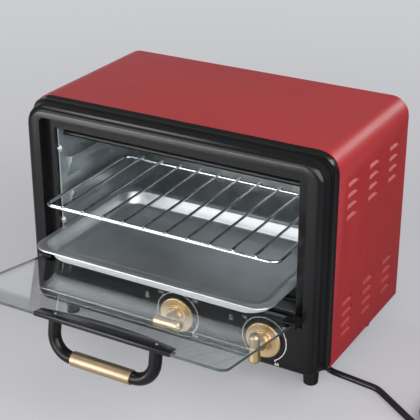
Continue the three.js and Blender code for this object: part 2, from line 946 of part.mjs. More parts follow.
function door() {
  const group = new THREE.Group();
  group.add(doorGlass(), hingeClip(-1), hingeClip(1), handleChannel(), handleTube(), handleSleeve());
  group.position.set(0, hingeInset, hingeZ);
  group.rotation.x = THREE.MathUtils.degToRad(doorOpenAngle);
  return group;
}

// Wire rack: a closed frame with bars welded across its front and rear wires

function wireRack() {
  const box = {
    left: -rackHalfWidth + rackWireRadius,
    right: rackHalfWidth - rackWireRadius,
    low: rackFront + rackWireRadius,
    high: rackFront + rackDepth - rackWireRadius,
  };
  const sides = 8;
  const sections = [];
  for (let side = 0; side < sides; side += 1) {
    const angle = side / sides * 2 * Math.PI;
    const inset = rackWireRadius * Math.cos(angle);
    const radius = rackCorner - inset;
    sections.push({
      outline: roundedOutline(insetBox(box, inset), { top: radius, low: radius }, 5),
      at: rackZ + rackWireRadius * Math.sin(angle),
    });
  }
  let solid = toSolid(loft(sections, 'z', true));
  const barZ = rackZ + rackWireRadius + rackBarRadius - weldDepth;
  for (let bar = 0; bar < rackBarCount; bar += 1) {
    const x = (bar - (rackBarCount - 1) / 2) * rackBarPitch;
    const wire = rod(rackBarRadius, rackDepth, 8).translate(x, rackFront + rackDepth / 2, barZ);
    solid = solid.add(toSolid(wire));
  }
  return piece('wire_rack', toGeometry(solid), finishes.chrome);
}

// Baking tray: pressed sheet with a flat rim, steep walls and a raised panel in its floor

function bakingTray() {
  const box = {
    left: -trayHalfWidth, right: trayHalfWidth, low: trayFront, high: trayFront + trayLength,
  };
  const panelBox = {
    left: box.left + trayPanelSide,
    right: box.right - trayPanelSide,
    low: box.low + trayPanelEnd,
    high: box.high - trayPanelEnd,
  };
  const wallFoot = trayRimWidth + trayWallRun + trayFootRadius;
  const ring = (inset, z) => {
    const radius = inset < trayRimWidth
      ? THREE.MathUtils.mapLinear(inset, 0, trayRimWidth, trayCorner, trayWallCorner)
      : THREE.MathUtils.mapLinear(inset, trayRimWidth, wallFoot, trayWallCorner, trayFloorCorner);
    return { outline: roundedOutline(insetBox(box, inset), { top: radius, low: radius }, 6), at: z };
  };
  const panelRing = (inset, z) => {
    const radii = { top: trayPanelCorner, low: trayPanelCorner };
    return { outline: roundedOutline(insetBox(panelBox, inset), radii, 6), at: z };
  };
  const floorTop = trayRimTop - trayDepth;
  const panelTop = floorTop + trayPanelRise;
  const footSteps = 3;
  const foot = (radius) => {
    const rings = [];
    for (let step = 0; step <= footSteps; step += 1) {
      const angle = step / footSteps * Math.PI / 2;
      const inset = wallFoot - radius * Math.cos(angle);
      rings.push(ring(inset, floorTop + trayFootRadius - radius * Math.sin(angle)));
    }
    return rings;
  };
  const sections = [
    panelRing(trayPanelRun, panelTop),
    panelRing(0, floorTop),
    ...foot(trayFootRadius).reverse(),
    ring(trayRimWidth, trayRimTop - sheet / 2),
    ring(trayRimWidth - sheet / 2, trayRimTop),
    ring(sheet / 2, trayRimTop),
    ring(0, trayRimTop - sheet / 2),
    ring(0, trayRimTop - trayRimLip),
    ring(sheet, trayRimTop - trayRimLip),
    ring(sheet, trayRimTop - sheet),
    ring(trayRimWidth - sheet, trayRimTop - sheet),
    ...foot(trayFootRadius + sheet),
    panelRing(0, floorTop - sheet),
    panelRing(trayPanelRun, panelTop - sheet),
  ];
  return piece('baking_tray', loft(sections, 'z'), finishes.aluminium);
}

// Knobs with their shafts, and the units they work

function knob(place) {
  const skirtFront = knobGap + knobSkirt;
  const domeSteps = 6;
  const profile = [
    [0, knobGap], [knobRadius - knobRim, knobGap], [knobRadius, knobGap + knobRim],
    [knobRadius, skirtFront - knobRim], [knobRadius - knobRim, skirtFront],
    [knobRingRadius + knobRingWidth, skirtFront - knobRim / 2],
    [knobRingRadius + knobRingWidth, skirtFront + knobRim],
    [knobRingRadius, skirtFront + knobRim], [knobRingRadius, skirtFront],
  ];
  for (let step = 0; step < domeSteps; step += 1) {
    const angle = step / domeSteps * Math.PI / 2;
    profile.push([knobDomeRadius * Math.cos(angle), skirtFront + knobDomeHeight * Math.sin(angle)]);
  }
  profile.push([0, skirtFront + knobDomeHeight]);
  const skirt = revolve(profile, 28);
  const half = leverLength / 2;
  const wide = leverRadius + leverFlare;
  const lever = revolve([
    [0, -half], [wide - knobRim, -half], [wide, -half + knobRim], [leverRadius, -half / 2],
    [leverRadius, half / 2], [wide, half - knobRim], [wide - knobRim, half], [0, half],
  ], 16);
  lever.rotateZ(Math.PI / 2).translate(0, leverStandOff, 0);
  const bore = rod(shaftRadius + fitGap, shaftReach + fitGap, 16);
  bore.translate(0, (shaftReach + fitGap) / 2, 0);
  const handle = cut(join(skirt, lever), bore);
  handle.rotateX(Math.PI).rotateY(place.turn).translate(place.x, 0, knobZ);
  return piece(`${place.name}_knob`, handle, finishes.gold);
}

function knobShaft(place) {
  const back = bezelWall + fitGap + shaftTail;
  const pin = rod(shaftRadius, shaftReach + back, 16).translate(0, (back - shaftReach) / 2, 0);
  const flat = block(-shaftRadius, shaftRadius, -shaftReach - overrun, 0,
    shaftRadius - shaftFlat, shaftRadius + overrun);
  const shaft = cut(pin, flat).translate(place.x, 0, knobZ);
  return piece(`${place.name}_shaft`, shaft, finishes.brass);
}

function shaftBore(place) {
  const depth = shaftTail + fitGap;
  const bore = rod(shaftRadius + fitGap, depth + overrun, 16);
  return bore.translate(place.x, bezelWall + fitGap + (depth - overrun) / 2, knobZ);
}

function thermostat(place) {
  const front = bezelWall + fitGap;
  const can = rod(thermostatRadius, thermostatDepth, 28);
  can.translate(place.x, front + thermostatDepth / 2, knobZ);
  return piece('thermostat', cut(can, shaftBore(place)), finishes.switchPlastic);
}

function timerUnit(place) {
  const front = bezelWall + fitGap;
  const box = {
    left: place.x - timerWidth / 2,
    right: place.x + timerWidth / 2,
    low: knobZ - timerHeight / 2,
    high: knobZ + timerHeight / 2,
  };
  const outline = roundedOutline(box, { top: unitCorner, low: unitCorner }, 3);
  const body = prism(outline, 'y', front, front + timerDepth);
  return piece('timer_unit', cut(body, shaftBore(place)), finishes.switchPlastic);
}

// Feet

function foot(name, x, y) {
  const height = basePlateLow - fitGap;
  const profile = [
    [0, 0], [footSoleRadius - footEdge, 0], [footSoleRadius, footEdge],
    [footTopRadius, height - footEdge], [footTopRadius - footEdge, height], [0, height],
  ];
  return piece(name, revolveUp(profile, 20).translate(x, y, 0), finishes.rubber);
}

function feet() {
  const x = halfWidth - footInsetX;
  const rearY = bodyDepth - footRearInset;
  return [
    foot('foot_front_left', -x, footFront),
    foot('foot_front_right', x, footFront),
    foot('foot_rear_left', -x, rearY),
    foot('foot_rear_right', x, rearY),
  ];
}

// Terminal block on the base plate

function terminalBlock() {
  const low = basePlateTop + fitGap;
  const rear = rearInner - terminalLength;
  const x = cordX - terminalWidth;
  const outline = points2(
    [rear - terminalLength, low],
    [rear, low],
    [rear, low + terminalHeight - terminalStep],
    [rear - terminalStep, low + terminalHeight],
    [rear - terminalLength + terminalStep, low + terminalHeight],
    [rear - terminalLength, low + terminalHeight - terminalStep],
  );
  const bar = prism(outline, 'x', x - terminalWidth / 2, x + terminalWidth / 2);
  return piece('terminal_block', bar, finishes.switchPlastic);
}

// Mains cord: strain relief, free stretch, coil and plug

const cordZ = cordRadius + cordRest;
const exitZ = coverLow + cordExitHeight;
const reliefEnd = bodyDepth + reliefFlange + reliefLength;
const cordBend = (exitZ - cordZ) / 2;

function strainRelief() {
  const profile = [
    [0, -sheet - reliefFlange], [reliefNeckRadius, -sheet - reliefFlange],
    [reliefNeckRadius, fitGap], [reliefFlangeRadius, fitGap],
    [reliefFlangeRadius, reliefFlange - fitGap], [reliefNeckRadius, reliefFlange],
  ];
  for (let rib = 0; rib < reliefRibs; rib += 1) {
    const at = (fraction) => reliefFlange + reliefLength * (rib + fraction) / reliefRibs;
    const radiusAt = (height) => {
      const share = (height - reliefFlange) / reliefLength;
      return reliefNeckRadius + (reliefTipRadius - reliefNeckRadius) * share;
    };
    const grooveStart = at(grooveStartShare);
    const grooveEnd = at(grooveEndShare);
    profile.push([radiusAt(grooveStart), grooveStart]);
    profile.push([radiusAt(grooveStart) - reliefRibDepth, grooveStart]);
    profile.push([radiusAt(grooveEnd) - reliefRibDepth, grooveEnd]);
    profile.push([radiusAt(grooveEnd), grooveEnd]);
  }
  profile.push([reliefTipRadius, reliefFlange + reliefLength], [0, reliefFlange + reliefLength]);
  const bush = revolve(profile, 12).translate(cordX, bodyDepth, exitZ);
  return piece('strain_relief', bush, finishes.rubber);
}

/** Centre line of the coil: in along the lower layer, out again along the upper one. */
function coilPoints() {
  const centre = new THREE.Vector3(coilX, coilY, cordZ);
  const half = coilTurns / 2;
  const climbStart = half - 0.25;
  const points = [];
  for (let step = 0; step <= coilTurns * coilStepsPerTurn; step += 1) {
    const turn = step / coilStepsPerTurn;
    const angle = coilStart + turn * 2 * Math.PI;
    const radius = coilRadius + coilPitch * (Math.abs(turn - half) - half / 2);
    const climb = THREE.MathUtils.clamp((turn - climbStart) * 2, 0, 1);
    points.push(new THREE.Vector3(
      centre.x + radius * Math.cos(angle),
      centre.y + radius * Math.sin(angle),
      centre.z + coilPitch * climb,
    ));
  }
  const first = points[0].clone().add(levelRun(points[1], points[0], 2 * cordRadius));
  const last = points.at(-1).clone().add(levelRun(points.at(-2), points.at(-1), plugLead));
  return [first, ...points, last];
}

/** A level stretch of the given length, in the direction from one point to the next. */
function levelRun(from, to, length) {
  const direction = to.clone().sub(from);
  direction.z = 0;
  return direction.setLength(length);
}

/** Tube with one ring of sides at every station and flat ends. */
function stationTube(points, radius, sides) {
  const positions = [];
  const up = new THREE.Vector3(0, 0, 1);
  points.forEach((point, i) => {
    const before = points[Math.max(i - 1, 0)];
    const after = points[Math.min(i + 1, points.length - 1)];
    const along = after.clone().sub(before).normalize();
    const across = new THREE.Vector3().crossVectors(up, along).normalize();
    const over = new THREE.Vector3().crossVectors(along, across);
    for (let side = 0; side < sides; side += 1) {
      const angle = (side + 0.5) / sides * 2 * Math.PI;
      const spot = point.clone()
        .addScaledVector(across, radius * Math.cos(angle))
        .addScaledVector(over, radius * Math.sin(angle));
      positions.push(spot.x, spot.y, spot.z);
    }
  });
  const indices = [];
  for (let ring = 0; ring < points.length - 1; ring += 1) {
    for (let i = 0; i < sides; i += 1) {
      const [a, b] = [ring * sides + i, ring * sides + (i + 1) % sides];
      indices.push(a, b, b + sides, a, b + sides, a + sides);
    }
  }
  const last = (points.length - 1) * sides;
  for (let i = 1; i < sides - 1; i += 1) {
    indices.push(0, i + 1, i, last, last + i, last + i + 1);
  }
  const geometry = new THREE.BufferGeometry();
  geometry.setAttribute('position', new THREE.Float32BufferAttribute(positions, 3));
  geometry.setIndex(indices);
  return facingOut(geometry);
}

const coilLine = coilPoints();

/** Points along a route whose corners are rounded to the cord's bend radius. */
function roundedRoute(stops) {
  const points = [stops[0]];
  for (let i = 1; i < stops.length - 1; i += 1) {
    const back = stops[i - 1].clone().sub(stops[i]).normalize();
    const ahead = stops[i + 1].clone().sub(stops[i]).normalize();
    const half = back.angleTo(ahead) / 2;
    const turn = Math.PI - 2 * half;
    const inwards = back.clone().add(ahead).normalize();
    const centre = stops[i].clone().addScaledVector(inwards, cordBend / Math.sin(half));
    const lead = cordBend / Math.tan(half);
    const from = stops[i].clone().addScaledVector(back, lead).sub(centre);
    const to = stops[i].clone().addScaledVector(ahead, lead).sub(centre);
    const steps = Math.max(Math.ceil(turn / bendStep), 2);
    for (let step = 0; step <= steps; step += 1) {
      const share = step / steps;
      points.push(centre.clone()
        .addScaledVector(from, Math.sin((1 - share) * turn) / Math.sin(turn))
        .addScaledVector(to, Math.sin(share * turn) / Math.sin(turn)));
    }
  }
  points.push(stops.at(-1));
  return points;
}

function powerCord() {
  const start = new THREE.Vector3(cordX, reliefEnd + fitGap, exitZ);
  const dropY = start.y + cordLevelRun + cordBend;
  const back = coilLine[0].clone().sub(coilLine[1]).normalize();
  const end = coilLine[0].clone().addScaledVector(back, fitGap);
  const points = roundedRoute([
    start,
    new THREE.Vector3(cordX, dropY, exitZ),
    new THREE.Vector3(cordX, dropY, cordZ),
    new THREE.Vector3(136, 150, cordZ),
    new THREE.Vector3(152, 64, cordZ),
    new THREE.Vector3(222, 55, cordZ),
    end.clone().addScaledVector(back, cordLead),
    end,
  ]);
  const path = new THREE.CurvePath();
  for (let i = 1; i < points.length; i += 1) {
    path.add(new THREE.LineCurve3(points[i - 1], points[i]));
  }
  const section = new THREE.Shape();
  section.absarc(0, 0, cordRadius, 0, 2 * Math.PI);
  const tube = new THREE.ExtrudeGeometry(section, {
    steps: cordSteps, curveSegments: cordSides / 2, bevelEnabled: false, extrudePath: path,
  });
  return piece('power_cord', tube, finishes.rubber);
}

function cordCoil() {
  return piece('cord_coil', stationTube(coilLine, cordRadius, coilSides), finishes.rubber);
}

/** Plug made along +Y from the cord's end, with three flat blades at its nose. */
function plug() {
  const ring = (y, halfX, halfZ, radius) => ({
    at: y,
    outline: roundedOutline(
      { left: -halfX, right: halfX, low: -halfZ, high: halfZ },
      { top: radius, low: radius },
      4,
    ),
  });
  const tip = cordRadius + sheet;
  const waist = tip + 2 * sheet;
  const body = loft([
    ring(0, tip, tip, tip - fitGap),
    ring(plugBoot, waist, waist, waist - fitGap),
    ring(plugBoot + plugNose, plugHalfWidth - plugNose, plugHalfHeight - sheet, plugNose),
    ring(plugBoot + 2 * plugNose, plugHalfWidth, plugHalfHeight, plugNose),
    ring(plugBoot + plugLength - sheet, plugHalfWidth, plugHalfHeight, plugNose),
    ring(plugBoot + plugLength, plugHalfWidth - sheet, plugHalfHeight - sheet, plugNose),
  ], 'y');
  const nose = plugBoot + plugLength;
  const blades = [
    { name: 'plug_blade_live', x: -bladeSpread, z: earthBladeDrop / 2, turn: -bladeTilt },
    { name: 'plug_blade_neutral', x: bladeSpread, z: earthBladeDrop / 2, turn: bladeTilt },
    { name: 'plug_blade_earth', x: 0, z: -earthBladeDrop, turn: Math.PI / 2 },
  ];
  const place = (geometry, blade) => geometry.rotateY(blade.turn).translate(blade.x, 0, blade.z);
  const bladeBlock = (blade, grow) => place(block(
    -bladeThickness / 2 - grow, bladeThickness / 2 + grow,
    nose - bladeSeat - grow, nose + bladeReach + grow,
    -bladeWidth / 2 - grow, bladeWidth / 2 + grow,
  ), blade);
  const group = new THREE.Group();
  const pockets = blades.map((blade) => bladeBlock(blade, fitGap));
  group.add(piece('plug', cut(body, ...pockets), finishes.rubber));
  for (const blade of blades) {
    group.add(piece(blade.name, bladeBlock(blade, 0), finishes.brass));
  }
  const end = coilLine.at(-1);
  const along = end.clone().sub(coilLine.at(-2)).normalize();
  group.position.copy(end).addScaledVector(along, fitGap);
  group.rotation.z = Math.atan2(along.y, along.x) - Math.PI / 2;
  return group;
}

// Assembly

const oven = new THREE.Group();
oven.add(
  cover(),
  bezel(),
  basePlate(),
  rearPanel(),
  cavityWall(-1),
  cavityWall(1),
  cavitySheet('cavity_ceiling', cavityTop),
  cavitySheet('cavity_floor', cavityFloor - sheet),
  ...heaters(),
  ...[-1, 1].map(hingePin),
  door(),
  wireRack(),
  bakingTray(),
  ...knobPlaces.flatMap((place) => [knob(place), knobShaft(place)]),
  thermostat(knobPlaces[0]),
  timerUnit(knobPlaces[1]),
  ...feet(),
  terminalBlock(),
);

// The origin is on the standing surface, under the middle of the oven with its door open

oven.updateMatrixWorld(true);
const extent = new THREE.Box3().setFromObject(oven, true);
const middle = extent.getCenter(new THREE.Vector3());

oven.add(strainRelief(), powerCord(), cordCoil(), plug());
oven.position.y = -middle.y;

export default oven;
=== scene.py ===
"""Visual model of a red mini oven with a drop-down glass door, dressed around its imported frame."""

import logging
import math
from collections.abc import Iterable, Mapping, Sequence
from dataclasses import dataclass, field
from enum import Enum

import bmesh
import bpy
from mathutils import Matrix, Vector


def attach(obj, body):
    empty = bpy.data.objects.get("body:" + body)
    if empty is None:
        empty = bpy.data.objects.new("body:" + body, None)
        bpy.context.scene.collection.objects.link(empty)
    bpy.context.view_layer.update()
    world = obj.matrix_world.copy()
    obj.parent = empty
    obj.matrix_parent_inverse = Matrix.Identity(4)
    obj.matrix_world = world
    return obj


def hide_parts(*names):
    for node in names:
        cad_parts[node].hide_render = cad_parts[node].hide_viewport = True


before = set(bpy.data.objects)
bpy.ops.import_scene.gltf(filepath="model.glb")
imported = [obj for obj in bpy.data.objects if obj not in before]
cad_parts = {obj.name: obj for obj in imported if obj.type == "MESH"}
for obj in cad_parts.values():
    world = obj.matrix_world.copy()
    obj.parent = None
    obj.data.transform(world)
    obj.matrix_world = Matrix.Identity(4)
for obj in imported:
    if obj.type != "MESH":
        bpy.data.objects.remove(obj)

LOG = logging.getLogger("mini_oven")
MM = 0.001
# Where the bezel's front lies in the frame, in mm
FRONT_Y = -24.7968

Colour = tuple[float, float, float]
Pair = tuple[float, float]


# Shader maths


class Wire:
    """The value on an output socket; arithmetic on it adds Math nodes to its graph."""

    def __init__(self, graph: "Graph", socket: bpy.types.NodeSocket) -> None:
        """Keep the socket and the graph it belongs to."""
        self.graph = graph
        self.socket = socket

    def math(self, operation: str, *others: "Wire | float", first: "float | None" = None) -> "Wire":
        """Add a Math node.

        Args:
            operation: Name of the Math node's operation.
            others: Values after this one.
            first: Number that comes before this value, where the order is reversed.

        Returns:
            The node's result.
        """
        values = [self, *others] if first is None else [first, self, *others]
        return self.graph.add("ShaderNodeMath", {"operation": operation}, dict(enumerate(values)))

    def __add__(self, other: "Wire | float") -> "Wire":
        """Sum with a value."""
        return self.math("ADD", other)

    __radd__ = __add__

    def __sub__(self, other: "Wire | float") -> "Wire":
        """Difference to a value."""
        return self.math("SUBTRACT", other)

    def __rsub__(self, other: float) -> "Wire":
        """Difference of a number to this value."""
        return self.math("SUBTRACT", first=other)

    def __mul__(self, other: "Wire | float") -> "Wire":
        """Product with a value."""
        return self.math("MULTIPLY", other)

    __rmul__ = __mul__

    def __pow__(self, other: "Wire | float") -> "Wire":
        """Power of this value."""
        return self.math("POWER", other)

    def rise(self, low: float, high: float) -> "Wire":
        """Smooth step from 0 at low to 1 at high."""
        inputs = {"Value": self, "From Min": low, "From Max": high}
        return self.graph.add("ShaderNodeMapRange", {"interpolation_type": "SMOOTHSTEP"}, inputs)


class Graph:
    """The node tree of one material."""

    def __init__(self, name: str) -> None:
        """Start a material with an empty tree."""
        self.material = bpy.data.materials.new(name)
        self.material.use_nodes = True
        self.tree = self.material.node_tree
        self.tree.nodes.clear()

    def add(
        self,
        kind: str,
        settings: Mapping[str, object] | None = None,
        inputs: Mapping[str | int, object] | None = None,
        output: str | int = 0,
    ) -> Wire:
        """Add a node of any type.

        Args:
            kind: Type of the node.
            settings: Properties, and under "stops" the positions and colours of a ramp.
            inputs: Values or wires by the name or number of their socket.
            output: Name or number of the socket that is returned.

        Returns:
            The wire on that output.
        """
        node = self.tree.nodes.new(kind)
        for key, value in (settings or {}).items():
            if key == "stops":
                ramp = node.color_ramp
                while len(ramp.elements) < len(value):
                    ramp.elements.new(1.0)
                for element, (position, colour) in zip(ramp.elements, value):
                    element.position = position
                    element.color = (*colour, 1.0)
            else:
                setattr(node, key, value)
        for key, value in (inputs or {}).items():
            if isinstance(value, Wire):
                self.tree.links.new(value.socket, node.inputs[key])
            else:
                node.inputs[key].default_value = value
        return Wire(self, node.outputs[output])

    def place(self) -> Wire:
        """Position on the piece, in metres."""
        return self.add("ShaderNodeTexCoord", output="Object")

    def noise(self, size: float, detail: float, stretch: Sequence[float] = (1, 1, 1)) -> Wire:
        """Noise from 0 to 1.

        Args:
            size: Size of its patches in mm.
            detail: Octaves.
            stretch: How much longer the patches are along X, Y and Z.

        Returns:
            The noise value.
        """
        scale = [1 / (size * MM * s) for s in stretch]
        spot = self.add("ShaderNodeMapping", inputs={"Vector": self.place(), "Scale": scale})
        return self.add("ShaderNodeTexNoise", inputs={"Vector": spot, "Scale": 1.0, "Detail": detail})

    def mix(self, low: Wire | Colour, high: Wire | Colour, factor: Wire | float) -> Wire:
        """Blend two colours by a factor."""
        first, second = ((*c, 1.0) if isinstance(c, tuple) else c for c in (low, high))
        inputs = {0: factor, 6: first, 7: second}
        return self.add("ShaderNodeMix", {"data_type": "RGBA"}, inputs, output=2)

    def bump(self, height: Wire, distance: float, strength: float) -> Wire:
        """Normal from a height, whose full range is the distance in mm."""
        inputs = {"Height": height, "Distance": distance * MM, "Strength": strength}
        return self.add("ShaderNodeBump", inputs=inputs)

    def edges(self, span: float) -> Wire:
        """Rise from 0 on flats to 1 on convex edges, over a span of the mesh's curvature; it masks the
        painted edge highlights.
        """
        flat = 0.5
        return self.add("ShaderNodeNewGeometry", output="Pointiness").rise(flat, flat + span)

    def surface(
        self, colour: Wire, rough: Wire | float, others: Mapping[str, object] | None = None,
    ) -> Wire:
        """Surface of a colour and a roughness, with other inputs by their names."""
        inputs = {"Base Color": colour, "Roughness": rough, **(others or {})}
        return self.add("ShaderNodeBsdfPrincipled", inputs=inputs)

    def finish(self, shader: Wire) -> bpy.types.Material:
        """Wire a shader to the output and return the material."""
        out = self.tree.nodes.new("ShaderNodeOutputMaterial")
        self.tree.links.new(shader.socket, out.inputs["Surface"])
        return self.material


def toned(colour: Colour, share: float) -> Colour:
    """A colour with its brightness changed."""
    return tuple(c * share for c in colour)


class Finish:
    """A material that is built once and shared by all that wear it."""

    made: dict["Finish", bpy.types.Material] = {}

    def material(self) -> bpy.types.Material:
        """Return the material, built on first use."""
        if self not in Finish.made:
            Finish.made[self] = self.build()
        return Finish.made[self]

    def build(self) -> bpy.types.Material:
        """Build the material."""
        raise NotImplementedError


@dataclass(frozen=True)
class PowderCoat(Finish):
    """Satin paint on sheet steel, with a fine orange peel and a painted highlight that makes its convex
    edges paler.
    """

    colour: Colour = (0.39, 0.018, 0.022)
    # pale: colour of the painted highlight along convex edges
    pale: Colour = (0.52, 0.07, 0.075)
    roughness: float = 0.34
    peel: float = 1.1
    grain: float = 0.22

    def build(self) -> bpy.types.Material:
        """Build the paint."""
        g = Graph("red_powder_coat")
        cloud = g.noise(60, 2)
        deep = toned(self.colour, 0.9)
        paint = g.mix(deep, self.colour, cloud.rise(0.3, 0.7))
        # Painted highlight: convex edges are mixed towards the pale colour.
        lit_edge_paint = g.mix(paint, self.pale, g.edges(0.06) * 0.35)
        rough = self.roughness + 0.10 * g.noise(9, 4) + 0.05 * cloud
        height = 0.7 * g.noise(self.peel, 2) + 0.3 * g.noise(self.grain, 1)
        return g.finish(g.surface(lit_edge_paint, rough, {
            "Normal": g.bump(height, 0.02, 0.6),
            "Coat Weight": 0.1,
            "Coat Roughness": 0.2,
            "Specular IOR Level": 0.36,
        }))


@dataclass(frozen=True)
class BlackPlastic(Finish):
    """Moulded black plastic, with a painted highlight that lightens its convex edges."""

    name: str = "satin_black_plastic"
    value: float = 0.006
    roughness: float = 0.14
    grain: float = 0.35
    depth: float = 0.006
    gloss: float = 0.30

    def build(self) -> bpy.types.Material:
        """Build the plastic."""
        g = Graph(self.name)
        dark = (self.value, self.value, self.value * 1.08)
        light = toned(dark, 1.9)
        flow = g.noise(45, 3)
        body = g.mix(dark, light, flow.rise(0.35, 0.8) * 0.4)
        # Painted highlight: convex edges are lightened towards three times the base value.
        edge = g.mix(body, toned(dark, 3), g.edges(0.08) * 0.4)
        rough = self.roughness + 0.09 * g.noise(14, 4) + 0.05 * g.noise(1.2, 2)
        return g.finish(g.surface(edge, rough, {
            "Normal": g.bump(g.noise(self.grain, 3), self.depth, 0.7),
            "Specular IOR Level": self.gloss,
        }))


@dataclass(frozen=True)
class GalvanisedSheet(Finish):
    """Zinc-coated sheet with a faint spangle and rolling streaks."""

    name: str = "galvanised_sheet"
    colour: Colour = (0.46, 0.49, 0.50)
    roughness: float = 0.32
    spangle: float = 9.0
    metallic: float = 0.9

    def build(self) -> bpy.types.Material:
        """Build the metal."""
        g = Graph(self.name)
        inputs = {"Vector": g.place(), "Scale": 1 / (self.spangle * MM)}
        cells = g.add("ShaderNodeTexVoronoi", inputs=inputs, output="Color")
        tone = g.add("ShaderNodeSeparateColor", inputs={"Color": cells}, output="Green")
        streak = g.noise(1.6, 3, (1, 45, 1))
        pale = toned(self.colour, 1.22)
        share = 0.45 * tone + 0.4 * streak + 0.15 * g.noise(30, 3)
        metal = g.mix(self.colour, pale, share.rise(0.2, 0.85))
        rough = self.roughness + 0.10 * tone + 0.10 * streak
        height = 0.5 * streak + 0.3 * tone + 0.2 * g.noise(0.5, 2)
        return g.finish(g.surface(metal, rough, {
            "Metallic": self.metallic,
            "Normal": g.bump(height, 0.02, 0.35),
        }))


@dataclass(frozen=True)
class PressedAluminium(Finish):
    """Pressed aluminium sheet with a rolled grain, a bloom of use, duller outer walls and a painted
    highlight that lightens its convex edges.
    """

    colour: Colour = (0.66, 0.69, 0.71)
    roughness: float = 0.23
    metallic: float = 0.88
    outer_colour: Colour = (0.80, 0.82, 0.83)
    outer_roughness: float = 0.45
    outer_metallic: float = 0.48

    def build(self) -> bpy.types.Material:
        """Build the metal."""
        g = Graph("pressed_aluminium")
        grain = g.noise(0.7, 3, (60, 1, 1))
        bloom = g.noise(38, 5)
        dull = toned(self.colour, 0.78)
        metal = g.mix(dull, self.colour, (0.55 * bloom + 0.45 * grain).rise(0.25, 0.7))
        # Painted highlight: convex edges are lightened towards pale aluminium.
        lit_edge_metal = g.mix(metal, (0.86, 0.88, 0.89), g.edges(0.05) * 0.4)
        turned = g.add("ShaderNodeTexCoord", output="Normal")
        down = 0 - g.add("ShaderNodeSeparateXYZ", inputs={"Vector": turned}, output="Z")
        outer = down.rise(0.15, 0.3) * (1 - down.rise(0.8, 0.95))
        rough = self.roughness + 0.14 * bloom + 0.08 * grain
        rough = rough + (self.outer_roughness - self.roughness) * outer
        return g.finish(g.surface(g.mix(lit_edge_metal, self.outer_colour, outer), rough, {
            "Metallic": self.metallic - (self.metallic - self.outer_metallic) * outer,
            "Normal": g.bump(0.7 * grain + 0.3 * bloom, 0.02, 0.25),
        }))


@dataclass(frozen=True)
class PlatedMetal(Finish):
    """Bright or satin plated metal with a fine drawn grain."""

    name: str = "chrome_plate"
    colour: Colour = (0.82, 0.83, 0.85)
    roughness: float = 0.12
    variation: float = 0.06
    grain: float = 0.4
    stretch: tuple[float, float, float] = (1, 1, 1)
    depth: float = 0.006

    def build(self) -> bpy.types.Material:
        """Build the plating."""
        g = Graph(self.name)
        grain = g.noise(self.grain, 2, self.stretch)
        cloud = g.noise(12, 3)
        deep = toned(self.colour, 0.86)
        metal = g.mix(deep, self.colour, (0.6 * cloud + 0.4 * grain).rise(0.25, 0.7))
        rough = self.roughness + self.variation * cloud + 0.5 * self.variation * grain
        return g.finish(g.surface(metal, rough, {
            "Metallic": 1.0,
            "Normal": g.bump(grain, self.depth, 0.5),
        }))


@dataclass(frozen=True)
class HeatedSteel(Finish):
    """Sheath of a heating rod: dark steel with straw and blue heat tints."""

    roughness: float = 0.24
    metallic: float = 0.9

    def build(self) -> bpy.types.Material:
        """Build the steel."""
        g = Graph("heated_steel")
        tint = g.noise(22, 3, (3, 1, 1))
        stops = (
            (0.3, (0.018, 0.019, 0.021)), (0.55, (0.034, 0.033, 0.032)), (0.75, (0.027, 0.03, 0.034)),
        )
        metal = g.add("ShaderNodeValToRGB", {"stops": stops}, {"Fac": tint})
        rough = self.roughness + 0.16 * g.noise(3, 3)
        return g.finish(g.surface(metal, rough, {
            "Metallic": self.metallic,
            "Normal": g.bump(g.noise(0.6, 2), 0.01, 0.5),
        }))


@dataclass(frozen=True)
class MatteBody(Finish):
    """Matt body colour: ceramic, rubber, switch plastic or printing ink."""

    name: str = "ceramic"
    colour: Colour = (0.78, 0.75, 0.68)
    roughness: float = 0.7
    grain: float = 0.5
    depth: float = 0.02
    spread: float = 0.85

    def build(self) -> bpy.types.Material:
        """Build the body."""
        g = Graph(self.name)
        fleck = 0.5 * g.noise(self.grain * 6, 4) + 0.5 * g.noise(self.grain, 2)
        deep = toned(self.colour, self.spread)
        body = g.mix(deep, self.colour, fleck.rise(0.3, 0.65))
        return g.finish(g.surface(body, self.roughness - 0.12 * fleck, {
            "Normal": g.bump(fleck, self.depth, 0.6),
        }))


@dataclass(frozen=True)
class ClearGlass(Finish):
    """Flat clear glass: it lets light straight through, mirrors at a slant and is green at its edges."""

    face: Colour = (0.975, 0.985, 0.983)
    edge: Colour = (0.030, 0.045, 0.042)
    edge_light: Colour = (0.085, 0.118, 0.112)
    edge_roughness: float = 0.12
    face_mirror: float = 0.05
    slant: float = 3.6

    def build(self) -> bpy.types.Material:
        """Build the glass."""
        g = Graph("clear_glass")
        directions = {0: g.add("ShaderNodeTexCoord", output="Normal"), 1: DoorSizes().axis_through()}
        along = g.add("ShaderNodeVectorMath", {"operation": "DOT_PRODUCT"}, directions, output="Value")
        side = 1 - along.math("ABSOLUTE").rise(0.6, 0.9)
        facing = g.add("ShaderNodeLayerWeight", inputs={"Blend": 0.5}, output="Facing")
        mirror = self.face_mirror + (1 - self.face_mirror) * facing ** self.slant
        smear = g.noise(55, 4).rise(0.3, 0.8)
        tint = g.mix(self.face, toned(self.face, 0.97), smear)
        through = g.add("ShaderNodeBsdfTransparent", inputs={"Color": tint})
        shine = {"Color": (0.96, 0.98, 0.97, 1.0), "Roughness": 0.03}
        gloss = g.add("ShaderNodeBsdfAnisotropic", inputs=shine)
        pane = g.add("ShaderNodeMixShader", inputs={0: mirror, 1: through, 2: gloss})
        green = g.mix(self.edge, self.edge_light, g.noise(18, 3))
        rim = g.surface(green, self.edge_roughness, {"Coat Weight": 0.4})
        return g.finish(g.add("ShaderNodeMixShader", inputs={0: side, 1: pane, 2: rim}))


